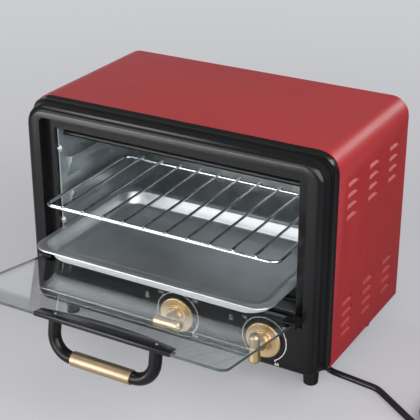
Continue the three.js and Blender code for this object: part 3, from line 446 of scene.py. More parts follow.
RED = PowderCoat()
BEZEL_BLACK = BlackPlastic()
LACQUER_BLACK = BlackPlastic("satin_black_lacquer", 0.006, 0.16, 0.5, 0.004, 0.22)
SHEET = GalvanisedSheet()
LINER = GalvanisedSheet("cavity_liner", (0.36, 0.40, 0.415), 0.28, 13.0, 0.78)
ALUMINIUM = PressedAluminium()
CHROME = PlatedMetal()
SCREW_STEEL = PlatedMetal("screw_steel", (0.70, 0.70, 0.70), 0.22, 0.1, 0.5)
GOLD = PlatedMetal("champagne_gold", (0.95, 0.71, 0.40), 0.32, 0.06, 0.25, (1, 1, 1), 0.003)
SLEEVE_GOLD = PlatedMetal("drawn_gold", (0.50, 0.385, 0.255), 0.42, 0.04, 0.3, (60, 1, 1), 0.0015)
BRASS = PlatedMetal("brass", (0.70, 0.52, 0.24), 0.2, 0.1, 0.5)
ROD_STEEL = HeatedSteel()
CERAMIC = MatteBody()
RUBBER = MatteBody("black_rubber", (0.006, 0.006, 0.0065), 0.5, 0.6, 0.02, 0.6)
CORD_SHEATH = MatteBody("cord_sheath", (0.013, 0.013, 0.014), 0.42, 0.8, 0.012, 0.7)
SWITCH_PLASTIC = MatteBody("switch_plastic", (0.62, 0.60, 0.54), 0.5, 0.8, 0.01, 0.9)
INK = MatteBody("white_ink", (0.90, 0.90, 0.90), 0.5, 0.4, 0.004, 0.92)


# Shapes


@dataclass
class Form:
    """Points in metres and faces, gathered before they become a mesh."""

    points: list[Vector] = field(default_factory=list)
    faces: list[tuple[int, ...]] = field(default_factory=list)

    def moved(self, matrix: Matrix) -> "Form":
        """Return a copy that a matrix has moved."""
        return Form([matrix @ p for p in self.points], list(self.faces))

    def plus(self, *others: "Form") -> "Form":
        """Return this form together with others."""
        points = list(self.points)
        faces = list(self.faces)
        for other in others:
            start = len(points)
            points.extend(other.points)
            faces.extend(tuple(start + i for i in f) for f in other.faces)
        return Form(points, faces)


def rounded(corners: Sequence[Pair], radius: float, steps: int) -> list[Pair]:
    """Round the inner corners of an open line in a plane.

    Args:
        corners: Its corners, in mm.
        radius: How far a bend reaches along its sides, less where a side is short.
        steps: Pieces of each arc.

    Returns:
        The rounded line's points.
    """
    line = [corners[0]]
    most = 0.45
    spots = [Vector(corner) for corner in corners]
    for before, here, after in zip(spots, spots[1:], spots[2:]):
        back, ahead = before - here, after - here
        reach = min(radius, back.length * most, ahead.length * most)
        start = here + back.normalized() * reach
        end = here + ahead.normalized() * reach
        for step in range(steps + 1):
            t = step / steps
            line.append(tuple(start * (1 - t) ** 2 + here * 2 * t * (1 - t) + end * t * t))
    line.append(corners[-1])
    return line


def lathe(profile: Sequence[Pair], sides: int) -> Form:
    """Turn a line of radius and height, in mm, about Z."""
    form = Form()
    smallest = 1e-6
    rings: list[range] = []
    for radius, height in profile:
        start = len(form.points)
        for side in range(1 if radius < smallest else sides):
            angle = side / sides * math.tau
            spot = Vector((radius * math.cos(angle), radius * math.sin(angle), height))
            form.points.append(spot * MM)
        rings.append(range(start, len(form.points)))
    for low, high in zip(rings, rings[1:]):
        for side in range(sides):
            face = [
                low[side % len(low)], low[(side + 1) % len(low)],
                high[(side + 1) % len(high)], high[side % len(high)],
            ]
            unique = tuple(dict.fromkeys(face))
            if len(unique) > 2:
                form.faces.append(unique)
    return form


def loft(rings: Sequence[Sequence[Vector]], closed: bool = False) -> Form:
    """Join rings of equal length, in mm.

    Args:
        rings: The rings in their order.
        closed: Whether the last ring joins the first.

    Returns:
        The skin over the rings, with flat ends where it is open.
    """
    form = Form([p * MM for ring in rings for p in ring])
    count = len(rings[0])
    for level in range(len(rings) if closed else len(rings) - 1):
        low, high = level * count, (level + 1) % len(rings) * count
        for i in range(count):
            j = (i + 1) % count
            form.faces.append((low + i, low + j, high + j, high + i))
    if not closed:
        form.faces.append(tuple(reversed(range(count))))
        form.faces.append(tuple(range(len(form.points) - count, len(form.points))))
    return form


def tube(path: Sequence[Vector], radius: float, sides: int, closed: bool = False) -> Form:
    """Sweep a circle along a path.

    Args:
        path: Its points, in mm.
        radius: Radius in mm.
        sides: Sides of the circle.
        closed: Whether the path is a ring.

    Returns:
        The tube, with flat ends where it is open.
    """
    count = len(path)
    angles = [side / sides * math.tau for side in range(sides)]
    rings = []
    normal = None
    for i, point in enumerate(path):
        before = path[i - 1] if i or closed else point
        after = path[(i + 1) % count] if i < count - 1 or closed else point
        along = (after - before).normalized()
        if normal is None:
            helper = Vector((0, 0, 1)) if abs(along.z) < 0.9 else Vector((1, 0, 0))
            normal = along.cross(helper).normalized()
        normal = (normal - along * normal.dot(along)).normalized()
        across = along.cross(normal)
        rings.append([point + (normal * math.cos(a) + across * math.sin(a)) * radius for a in angles])
    return loft(rings, closed)


def rounded_ring(
    half_x: float, half_y: float, radius: float, z: float, steps: int, centre: Pair = (0, 0),
) -> list[Vector]:
    """Points of a rounded rectangle at a height, in mm, with a number of steps at each corner."""
    points = []
    corners = ((1, 1, 0), (-1, 1, 1), (-1, -1, 2), (1, -1, 3))
    for sign_x, sign_y, turns in corners:
        x = centre[0] + sign_x * (half_x - radius)
        y = centre[1] + sign_y * (half_y - radius)
        for step in range(steps + 1):
            angle = (turns + step / steps) * math.pi / 2
            points.append(Vector((x + radius * math.cos(angle), y + radius * math.sin(angle), z)))
    return points


def bent(stops: Sequence[Vector], radius: float) -> list[Vector]:
    """Round the corners of a route.

    Args:
        stops: Its corners, in mm.
        radius: Radius of every bend in mm.

    Returns:
        Points along the rounded route.
    """
    line = [stops[0]]
    largest_step = 6
    for before, here, after in zip(stops, stops[1:], stops[2:]):
        back = (before - here).normalized()
        ahead = (after - here).normalized()
        half = back.angle(ahead) / 2
        turn = math.pi - 2 * half
        centre = here + (back + ahead).normalized() * radius / math.sin(half)
        lead = radius / math.tan(half)
        start = here + back * lead - centre
        end = here + ahead * lead - centre
        steps = max(math.ceil(math.degrees(turn) / largest_step), 2)
        for step in range(steps + 1):
            share = step / steps
            arm = start * math.sin((1 - share) * turn) + end * math.sin(share * turn)
            line.append(centre + arm / math.sin(turn))
    line.append(stops[-1])
    return line


def quarter(steps: int) -> list[float]:
    """Angles of a quarter turn in equal steps."""
    return [step / steps * math.pi / 2 for step in range(steps + 1)]


def shift(x: float, y: float, z: float) -> Matrix:
    """Matrix that moves by distances in mm."""
    return Matrix.Translation(Vector((x, y, z)) * MM)


def frame_place(x: float, y: float, z: float) -> Matrix:
    """Matrix that moves to a place given in mm from the bezel's front and the standing surface."""
    return shift(x, y + FRONT_Y, z)


ORIGIN = frame_place(0, 0, 0)
# Turns of Z to the front, to the rear and to the right
TO_FRONT = Matrix.Rotation(math.pi / 2, 4, "X")
TO_REAR = Matrix.Rotation(-math.pi / 2, 4, "X")
TO_RIGHT = Matrix.Rotation(math.pi / 2, 4, "Y")


class Body(Enum):
    """Bodies that pieces ride on."""

    OVEN = "oven"
    DOOR = "door"
    RACK = "rack"
    TRAY = "tray"
    TEMPERATURE = "temperature_dial"
    TIMER = "timer_dial"


def add_object(name: str, data: bpy.types.ID) -> bpy.types.Object:
    """Put an object with its data into the scene."""
    obj = bpy.data.objects.new(name, data)
    bpy.context.scene.collection.objects.link(obj)
    return obj


def piece(
    name: str, form: Form, body: Body, finish: Finish,
    replaces: Sequence[str] = (), crease: float = 38.0,
) -> bpy.types.Object:
    """Make a piece from a form and let it ride.

    Args:
        name: The piece's name.
        form: Its points and faces.
        body: The body it rides on.
        finish: Its finish.
        replaces: CAD nodes that it stands for.
        crease: Angle in degrees from which an edge is sharp.

    Returns:
        The new object.
    """
    mesh = bpy.data.meshes.new(name)
    mesh.from_pydata([tuple(p) for p in form.points], [], form.faces)
    shell = bmesh.new()
    shell.from_mesh(mesh)
    bmesh.ops.remove_doubles(shell, verts=shell.verts, dist=1e-7)
    bmesh.ops.recalc_face_normals(shell, faces=shell.faces)
    shell.to_mesh(mesh)
    shell.free()
    mesh.shade_smooth()
    mesh.set_sharp_from_angle(angle=math.radians(crease))
    mesh.materials.append(finish.material())
    obj = add_object(name, mesh)
    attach(obj, body.value)
    if replaces:
        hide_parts(*replaces)
    LOG.info("piece %s: %d faces on %s", name, len(mesh.polygons), body.value)
    return obj


class Shading:
    """Modifiers that weld a CAD node's facets and shade them smooth up to an angle."""

    group: bpy.types.NodeTree | None = None

    @classmethod
    def smooth_group(cls) -> bpy.types.NodeTree:
        """Geometry nodes that shade faces smooth and edges above an angle sharp."""
        if cls.group is not None:
            return cls.group
        tree = bpy.data.node_groups.new("smooth_below_angle", "GeometryNodeTree")
        for name, way, kind in (
            ("Geometry", "INPUT", "Geometry"),
            ("Angle", "INPUT", "Float"),
            ("Geometry", "OUTPUT", "Geometry"),
        ):
            tree.interface.new_socket(name, in_out=way, socket_type=f"NodeSocket{kind}")
        start, end, plain, faces, edges, angle, sharper = map(tree.nodes.new, (
            "NodeGroupInput", "NodeGroupOutput", "GeometryNodeRemoveAttribute",
            "GeometryNodeSetShadeSmooth", "GeometryNodeSetShadeSmooth",
            "GeometryNodeInputMeshEdgeAngle", "FunctionNodeCompare",
        ))
        plain.inputs["Name"].default_value = "custom_normal"
        edges.domain = "EDGE"
        edges.inputs["Shade Smooth"].default_value = False
        sharper.data_type = "FLOAT"
        sharper.operation = "GREATER_THAN"
        for source, output, target, socket in (
            (start, "Geometry", plain, "Geometry"),
            (plain, "Geometry", faces, "Geometry"),
            (faces, "Geometry", edges, "Geometry"),
            (angle, "Unsigned Angle", sharper, 0),
            (start, "Angle", sharper, 1),
            (sharper, "Result", edges, "Selection"),
            (edges, "Geometry", end, "Geometry"),
        ):
            tree.links.new(source.outputs[output], target.inputs[socket])
        cls.group = tree
        return tree

    @classmethod
    def apply(cls, obj: bpy.types.Object, crease: float, edge: float) -> None:
        """Add the modifiers.

        Args:
            obj: The CAD node's object.
            crease: Angle in degrees from which an edge stays sharp.
            edge: Width in mm of the rounding along sharp edges, 0 for none.
        """
        weld = obj.modifiers.new("weld", "WELD")
        weld.merge_threshold = 0.005 * MM
        if edge > 0:
            flats = obj.modifiers.new("flats", "DECIMATE")
            flats.decimate_type = "DISSOLVE"
            flats.angle_limit = math.radians(0.4)
            bevel = obj.modifiers.new("edges", "BEVEL")
            bevel.limit_method = "ANGLE"
            bevel.angle_limit = math.radians(crease)
            bevel.width = edge * MM
            bevel.segments = 2
            bevel.use_clamp_overlap = True
        smooth = obj.modifiers.new("smooth", "NODES")
        smooth.node_group = cls.smooth_group()
        socket = next(i for i in smooth.node_group.interface.items_tree if i.name == "Angle")
        smooth[socket.identifier] = math.radians(crease)


def dress(finish: Finish, *nodes: str, crease: float = 32.0, edge: float = 0.0) -> None:
    """Give CAD nodes a finish and smooth shading.

    Args:
        finish: Their finish.
        nodes: Names of the CAD nodes.
        crease: Angle in degrees from which an edge stays sharp.
        edge: Width in mm of the rounding along sharp edges.
    """
    for name in nodes:
        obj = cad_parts[name]
        for slot in obj.material_slots:
            slot.material = finish.material()
        Shading.apply(obj, crease, edge)
        LOG.info("node %s wears %s", name, type(finish).__name__)


# Studio


@dataclass
class Studio:
    """Camera, floor, backdrop and soft lights."""

    image_side: float = 420.0
    focal: float = 1198.509
    centre: Pair = (204.084, 208.906)
    place: tuple[float, float, float] = (0.593301, -0.973152, 0.702036)
    azimuth: float = 30.026
    elevation: float = 24.96
    roll: float = -0.171
    sensor: float = 36.0

    def camera(self) -> None:
        """Set the camera at the photograph's viewpoint."""
        data = bpy.data.cameras.new("view")
        data.sensor_width = self.sensor
        data.lens = self.focal / self.image_side * self.sensor
        data.shift_x = 0.5 - self.centre[0] / self.image_side
        data.shift_y = self.centre[1] / self.image_side - 0.5
        data.clip_end = 50.0
        obj = add_object("view", data)
        turn = Matrix.Rotation(math.radians(self.azimuth), 4, "Z")
        tilt = Matrix.Rotation(math.radians(90 - self.elevation), 4, "X")
        roll = Matrix.Rotation(math.radians(self.roll), 4, "Z")
        obj.matrix_world = Matrix.Translation(self.place) @ turn @ tilt @ roll
        bpy.context.scene.camera = obj

    @staticmethod
    def plane(name: str, corners: Sequence[Sequence[float]], material: bpy.types.Material) -> None:
        """Add a flat stage panel."""
        mesh = bpy.data.meshes.new(name)
        mesh.from_pydata(corners, [], [tuple(range(len(corners)))])
        mesh.materials.append(material)
        obj = add_object(name, mesh)

    @staticmethod
    def floor_paint() -> bpy.types.Material:
        """Pale satin surface of the floor, which fades into an even backdrop away from the oven, with a
        painted shade to the right of the oven in what reflections and bounce light see.
        """
        g = Graph("pale_floor")
        seen = g.add("ShaderNodeLightPath", output="Is Camera Ray")
        across = g.add("ShaderNodeSeparateXYZ", inputs={"Vector": g.place()}, output="X")
        away = g.add("ShaderNodeVectorMath", {"operation": "LENGTH"}, {0: g.place()}, output="Value")
        # Painted shade: to the right of the oven the floor turns dark for every ray but camera rays.
        shaded_right = g.mix((0.54, 0.54, 0.57), (0.06, 0.06, 0.07), across.rise(0.06, 0.20))
        pale = g.mix((0.60, 0.60, 0.635), (0.64, 0.64, 0.675), g.noise(400, 2))
        floor = g.surface(g.mix(shaded_right, pale, seen), 0.42 + 0.06 * g.noise(6, 2))
        tone = g.mix((0.53, 0.53, 0.56), (0.60, 0.61, 0.62), away.rise(0.5, 1.6))
        glow = g.add("ShaderNodeEmission", inputs={"Color": tone, "Strength": 1.0})
        share = seen * (0.4 + 0.6 * away.rise(0.25, 0.8))
        return g.finish(g.add("ShaderNodeMixShader", inputs={0: share, 1: floor, 2: glow}))

    @staticmethod
    def backdrop_paint() -> bpy.types.Material:
        """Pale matt surface of the backdrop, as bright in a mirror as where it is seen."""
        g = Graph("pale_backdrop")
        seen = g.add("ShaderNodeLightPath", output="Is Camera Ray")
        mirrored = g.add("ShaderNodeLightPath", output="Is Glossy Ray")
        grey = g.mix((0.20, 0.20, 0.21), (0.22, 0.22, 0.23), g.noise(300, 2))
        matt = g.surface(grey, 0.8 + 0.05 * g.noise(20, 2))
        glow = g.add("ShaderNodeEmission", inputs={"Color": (0.60, 0.61, 0.63, 1.0), "Strength": 1.0})
        return g.finish(g.add("ShaderNodeMixShader", inputs={0: seen + mirrored, 1: matt, 2: glow}))

    def stage(self) -> None:
        """Lay the floor and hang the backdrop."""
        reach = 6.0
        ground = [(-reach, -reach, 0), (reach, -reach, 0), (reach, reach, 0), (-reach, reach, 0)]
        self.plane("floor", ground, self.floor_paint())
        left, right, rear, top = -3.4, -0.5, 2.6, 0.95
        wall = [(left, rear, 0), (right, rear, 0), (right, rear, top), (left, rear, top)]
        self.plane("backdrop", wall, self.backdrop_paint())

    @staticmethod
    def lamp(name: str, place: Sequence[float], target: Sequence[float], size: Pair, power: float) -> None:
        """Add a soft box.

        Args:
            name: Its name.
            place: Where it hangs, in metres.
            target: The point it faces.
            size: Width and height in metres.
            power: Power in watts.
        """
        data = bpy.data.lights.new(name, "AREA")
        data.shape = "RECTANGLE"
        data.size, data.size_y = size
        data.energy = power
        turn = (Vector(target) - Vector(place)).to_track_quat("-Z", "Y")
        add_object(name, data).matrix_world = Matrix.Translation(place) @ turn.to_matrix().to_4x4()

    @staticmethod
    def room() -> None:
        """Set the surroundings: dim on the oven, and as pale as the backdrop where they are seen."""
        world = bpy.data.worlds.new("room")
        world.use_nodes = True
        tree = world.node_tree
        seen = tree.nodes.new("ShaderNodeLightPath")
        blend = tree.nodes.new("ShaderNodeMixShader")
        tree.links.new(seen.outputs["Is Camera Ray"], blend.inputs[0])
        for socket, strength in ((1, 0.22), (2, 1.0)):
            background = tree.nodes.new("ShaderNodeBackground")
            background.inputs["Color"].default_value = (0.60, 0.61, 0.62, 1.0)
            background.inputs["Strength"].default_value = strength
            tree.links.new(background.outputs["Background"], blend.inputs[socket])
        tree.links.new(blend.outputs["Shader"], tree.nodes["World Output"].inputs["Surface"])
        bpy.context.scene.world = world

    def lights(self) -> None:
        """Hang the soft boxes."""
        aim = (0.0, 0.0, 0.12)
        self.lamp("key", (0.86, -0.56, 0.64), aim, (0.9, 0.9), 13)
        self.lamp("front_right", (0.55, -1.7, 0.9), aim, (1.3, 1.0), 9)
        self.lamp("front_left", (-1.0, -1.7, 0.7), aim, (1.4, 0.9), 10)
        self.lamp("top", (-0.9, 0.0, 1.6), aim, (0.9, 0.5), 8)
        self.lamp("rear", (0.8, 1.5, 0.88), aim, (0.9, 0.5), 7)
        self.lamp("low_front", (-0.66, -1.2, 0.09), (0.0, -0.06, 0.11), (1.0, 0.16), 7)


# Mains cord


@dataclass
class MainsCord:
    """Cord from the rear panel to its coil, with strain relief, tie and plug."""

    radius: float = 3.4
    rest: float = 0.2
    exit_x: float = 120.0
    exit_y: float = 206.0
    exit_z: float = 59.0
    relief_reach: float = 20.3
    level_run: float = 8.0
    coil_lead: float = 20.0
    coil_centre: Pair = (322.0, 44.0)
    coil_radius: float = 39.0
    coil_pitch: float = 7.5
    coil_turns: int = 3
    coil_start: float = 4 / 3 * math.pi
    plug_lead: float = 30.0
    tie_angle: float = 100.0
    floor_corners: tuple[Pair, ...] = ((136, 150), (152, 64), (222, 55))

    def coil(self) -> list[Vector]:
        """Centre line of the coil, in along the lower layer and out along the upper one."""
        steps = 48
        half = self.coil_turns / 2
        low = self.radius + self.rest
        points = []
        for step in range(self.coil_turns * steps + 1):
            turn = step / steps
            angle = self.coil_start + turn * math.tau
            radius = self.coil_radius + self.coil_pitch * (abs(turn - half) - half / 2)
            climb = min(max((turn - half + 0.25) * 2, 0), 1)
            points.append(Vector((
                self.coil_centre[0] + radius * math.cos(angle),
                self.coil_centre[1] + radius * math.sin(angle),
                low + self.coil_pitch * climb,
            )))
        return points

    def route(self) -> list[Vector]:
        """The whole centre line in mm, from the strain relief to the plug."""
        coil = self.coil()
        first = self.level(coil[1], coil[0], 2 * self.radius) + coil[0]
        last = self.level(coil[-2], coil[-1], self.plug_lead) + coil[-1]
        back = (first - coil[0]).normalized()
        low = self.radius + self.rest
        bend = (self.exit_z - low) / 2
        start = Vector((self.exit_x, self.exit_y + self.relief_reach, self.exit_z))
        drop_y = start.y + self.level_run + bend
        stops = [
            start,
            Vector((self.exit_x, drop_y, self.exit_z)),
            Vector((self.exit_x, drop_y, low)),
            *(Vector((x, y, low)) for x, y in self.floor_corners),
            first + back * self.coil_lead,
            first,
        ]
        return [*bent(stops, bend), *coil, last]

    @staticmethod
    def level(start: Vector, end: Vector, length: float) -> Vector:
        """Level stretch of a length, in the direction from start to end."""
        direction = end - start
        direction.z = 0
        return direction.normalized() * length

    def relief(self) -> bpy.types.Object:
        """Ribbed strain relief at the rear panel."""
        neck, taper, foot, length, ribs, groove = 6.5, 2.1, 2.5, 18.0, 5, 0.7
        corners = [(0.0, -1.2), (6.4, -1.2), (6.4, 0.4), (9.4, 0.4), (9.4, 2.2), (neck, foot)]
        for rib in range(ribs):
            for share, dip in ((0.15, 0.0), (0.3, groove), (0.6, groove), (0.75, 0.0)):
                at = (rib + share) / ribs
                corners.append((neck - taper * at - dip, foot + length * at))
        tip = foot + length
        corners += [(4.35, tip - 0.1), (3.5, tip), (0.0, tip)]
        place = frame_place(self.exit_x, self.exit_y, self.exit_z) @ TO_REAR
        form = lathe(rounded(corners, radius=0.5, steps=3), sides=32).moved(place)
        return piece("cord_relief", form, Body.OVEN, RUBBER, ["strain_relief"])

    def tie(self) -> bpy.types.Object:
        """Flat tie round the coil's turns."""
        angle = math.radians(self.tie_angle)
        outward = Vector((math.cos(angle), math.sin(angle), 0))
        centre = Vector((*self.coil_centre, 0)) + outward * self.coil_radius
        width, thick, corner = 5.0, 0.5, 3.5
        reach, low, high = 10.4, 0.02, 15.2
        along = Vector((-outward.y, outward.x, 0)) * width / 2
        rings = []
        for inset, side in ((0.0, -along), (0.0, along), (thick, along), (thick, -along)):
            ring = rounded_ring(reach - inset, (high - low) / 2 - inset, corner - inset, 0, steps=6)
            middle = centre + side + Vector((0, 0, (low + high) / 2))
            rings.append([middle + outward * p.x + Vector((0, 0, p.y)) for p in ring])
        form = loft(rings, closed=True).moved(ORIGIN)
        return piece("cord_tie", form, Body.OVEN, RUBBER)

    def build(self) -> None:
        path = [p + Vector((0, FRONT_Y, 0)) for p in self.route()]
        replaced = ["power_cord", "cord_coil"]
        form = tube(path, self.radius, sides=16)
        cord = piece("mains_cord", form, Body.OVEN, CORD_SHEATH, replaced)
        relief = self.relief()
        tie = self.tie()
        dress(RUBBER, "plug", edge=0.8)
        names = [f"plug_blade_{wire}" for wire in ("live", "neutral", "earth")]
        dress(BRASS, *names, edge=0.25)
        points = [p * MM for p in path]
        length = sum((b - a).length for a, b in zip(points, points[1:]))
        LOG.info("cord length %.3f m", length)


# Housing


@dataclass
class Screw:
    """Pan-head screw with a dished recess."""

    radius: float = 3.0
    height: float = 1.6

    def form(self) -> Form:
        """The head, standing on z = 0."""
        r, h = self.radius, self.height
        profile = [(0.0, 0.0), (r, 0.0), (r, 0.35 * h), (0.8 * r, 0.85 * h), (0.45 * r, h)]
        dish = [(0.42 * r, 0.8 * h), (0.18 * r, 0.45 * h), (0.0, 0.4 * h)]
        return lathe(rounded([*profile, *dish], radius=0.3 * h, steps=3), sides=24)

    def heads(self, places: Iterable[Matrix]) -> Form:
        """Heads at several places."""
        return Form().plus(*(self.form().moved(place) for place in places))


@dataclass
class Housing:
    """Cover, bezel, base, rear panel, feet and terminal block."""

    rear_y: float = 206.0
    rear_screw_x: float = 168.0
    rear_screw_z: Pair = (45.0, 256.0)
    screw: Screw = field(default_factory=Screw)

    def build(self) -> None:
        """Dress the shell and set its screws."""
        dress(RED, "outer_cover", crease=28)
        dress(BEZEL_BLACK, "front_bezel", crease=30)
        dress(SHEET, "base_plate", "rear_panel", crease=40)
        feet = [f"foot_{end}_{side}" for end in ("front", "rear") for side in ("left", "right")]
        dress(RUBBER, *feet, crease=40)
        dress(SWITCH_PLASTIC, "terminal_block", crease=40)
        self.rear_screws()

    def rear_screws(self) -> None:
        """Screws through the rear panel's corners."""
        spots = [(x, z) for x in (-self.rear_screw_x, self.rear_screw_x) for z in self.rear_screw_z]
        heads = self.screw.heads(frame_place(x, self.rear_y, z) @ TO_REAR for x, z in spots)
        piece("rear_screws", heads, Body.OVEN, SCREW_STEEL)


# Cavity


@dataclass
class Cavity:
    """Lined cavity with its rods, and the folded edges of its side walls, whose bright steel is a painted
    highlight.
    """

    wall_x: float = 144.5
    front_y: float = 15.0
    edge_low: float = 94.5
    edge_high: float = 237.5
    edge_radius: float = 0.7
    tab_heights: Pair = (130.0, 215.0)
    tab_radius: float = 4.4
    tab_thickness: float = 0.8
    screw: Screw = field(default_factory=lambda: Screw(2.3, 1.5))

    def build(self) -> None:
        """Dress the liner, the rods and their holders."""
        dress(LINER, "cavity_wall_left", "cavity_wall_right", "cavity_ceiling", "cavity_floor", crease=34)
        for level in ("lower", "upper"):
            dress(ROD_STEEL, *(f"heating_rod_{level}_{end}" for end in ("front", "rear")), crease=40)
            dress(CERAMIC, *(f"rod_holder_{level}_{side}" for side in ("left", "right")), crease=40)
        self.edges()

    def edges(self) -> None:
        """Folded front edge of each side wall, with tabs and their screws on the left."""
        folds = Form()
        for x in (-self.wall_x, self.wall_x):
            ends = [Vector((x, self.front_y, z)) for z in (self.edge_low, self.edge_high)]
            folds = folds.plus(tube(ends, self.edge_radius, sides=12).moved(ORIGIN))
        places = [frame_place(-self.wall_x, self.front_y, z) @ TO_FRONT for z in self.tab_heights]
        folds = folds.plus(*(self.tab().moved(place) for place in places))
        # The folds belong to the liner but wear bright screw steel: a painted highlight along each front
        # edge.
        piece("liner_edges", folds, Body.OVEN, SCREW_STEEL)
        piece("liner_screws", self.screw.heads(places), Body.OVEN, SCREW_STEEL)

    def tab(self) -> Form:
        """Round tab under a screw, with a rolled rim."""
        r, t = self.tab_radius, self.tab_thickness
        rim, bead, foot = 0.35, 0.7, 0.9
        profile = [(0.0, -t), (r, -t), (r, rim), (r - bead, rim), (r - foot, 0.0), (0.0, 0.0)]
        return lathe(rounded(profile, radius=0.3, steps=3), sides=32)


# Door


@dataclass
class DoorSizes:
    """Where the door hangs, how far it is open at rest and its handle's sizes."""

    hinge_y: float = 5.0
    hinge_z: float = 91.5
    opening: float = 80.7
    handle_x: float = 18.0
    span: float = 116.0
    stand_off: float = 38.6
    tube_radius: float = 6.5
    bend: float = 22.0
    middle: float = 149.6
    channel_half: float = 2.3
    sleeve_length: float = 68.4
    sleeve_radius: float = 7.5

    def matrix(self) -> Matrix:
        """Matrix from the closed door's own frame to the door as it rests, open."""
        hang = frame_place(0, self.hinge_y, self.hinge_z)
        return hang @ Matrix.Rotation(math.radians(self.opening), 4, "X")

    def axis_through(self) -> Vector:
        """Direction through the glass, at rest."""
        return self.matrix().to_3x3() @ Vector((0, 1, 0))


@dataclass
class Door:
    """Glass door with its handle."""

    size: DoorSizes = field(default_factory=DoorSizes)
    screw: Screw = field(default_factory=lambda: Screw(1.4, 0.7))

    def handle_path(self) -> list[Vector]:
        """Centre line of the handle, from one end of the channel to the other."""
        s = self.size
        end_gap = 0.3
        half = [(s.span / 2, -s.channel_half - end_gap)]
        for angle in quarter(14):
            inward, back = s.bend * (1 - math.cos(angle)), s.bend * (1 - math.sin(angle))
            half.append((s.span / 2 - inward, back - s.stand_off))
        line = [(-x, y) for x, y in half] + half[::-1]
        return [Vector((s.handle_x + x, y, s.middle)) for x, y in line]

    def handle(self) -> None:
        """Black tube with a gold sleeve on its bar."""
        s = self.size
        matrix = s.matrix()
        bar = tube(self.handle_path(), s.tube_radius, sides=32)
        piece("door_handle", bar.moved(matrix), Body.DOOR, LACQUER_BLACK, ["handle_tube"])
        half = s.sleeve_length / 2
        play = 0.2
        outer, inner = s.sleeve_radius, s.tube_radius + play
        corners = [(inner, -half), (outer, -half), (outer, half), (inner, half)]
        profile = rounded(corners, radius=0.5, steps=3)
        place = matrix @ shift(s.handle_x, -s.stand_off, s.middle) @ TO_RIGHT
        grip = lathe([*profile, profile[0]], sides=48).moved(place)
        piece("handle_grip", grip, Body.DOOR, SLEEVE_GOLD, ["handle_sleeve"])

    def screws(self) -> None:
        """Screws that clamp the channel over the handle's ends."""
        s = self.size
        spots = [shift(s.handle_x + half, s.channel_half, s.middle) for half in (-s.span / 2, s.span / 2)]
        heads = self.screw.heads(s.matrix() @ spot @ TO_REAR for spot in spots)
        piece("handle_screws", heads, Body.DOOR, SCREW_STEEL)

    def build(self) -> None:
        """Dress the door and build its handle."""
        dress(ClearGlass(), "door_glass", crease=30)
        dress(LACQUER_BLACK, "hinge_clip_left", "hinge_clip_right", crease=36)
        dress(BEZEL_BLACK, "handle_channel", crease=36, edge=0.2)
        dress(CHROME, "hinge_pin_left", "hinge_pin_right", crease=40)
        self.handle()
        self.screws()


# Rack and tray


@dataclass
class WireRack:
    """Chromed rack: a closed frame with bars welded across it."""

    half_x: float = 138.8
    front: float = -21.3
    rear: float = 136.3
    z: float = 163.85
    corner: float = 9.0
    wire: float = 2.0
    bar: float = 1.4
    bars: int = 10
    pitch: float = 25.6
    bite: float = 0.4
    sink: float = 0.1
    sides: int = 14

    def build(self) -> None:
        """Build the rack in place of its CAD node."""
        middle = (self.front + self.rear) / 2
        half_y = (self.rear - self.front) / 2
        ring = rounded_ring(self.half_x, half_y, self.corner, self.z, steps=12, centre=(0, middle))
        form = tube(ring, self.wire, self.sides, closed=True)
        bar_z = self.z + self.wire + self.bar - self.bite
        for i in range(self.bars):
            x = (i - (self.bars - 1) / 2) * self.pitch
            form = form.plus(self.cross_bar(x, bar_z), *(self.weld(x, y) for y in (self.front, self.rear)))
        piece("rack_wires", form.moved(ORIGIN), Body.RACK, CHROME, ["wire_rack"], crease=50)

    def cross_bar(self, x: float, z: float) -> Form:
        """A bar with chamfered ends, just short of the frame's outer side."""
        end = self.wire - self.sink
        cap, end_share = 0.7, 0.7
        line = [(0.0, 0.0), (self.bar * end_share, 0.0), (self.bar, cap)]
        length = self.rear - self.front + 2 * end
        profile = [*line, *((r, length - h) for r, h in reversed(line))]
        return lathe(profile, self.sides).moved(shift(x, self.front - end, z) @ TO_REAR)

    def weld(self, x: float, y: float) -> Form:
        """Flattened bead where a bar meets the frame."""
        profile = [(0.0, -1.2), (1.9, -0.9), (2.6, 0.0), (2.1, 0.9), (1.2, 1.5), (0.0, 1.7)]
        return lathe(profile, sides=12).moved(shift(x, y, self.z + self.wire - self.sink))


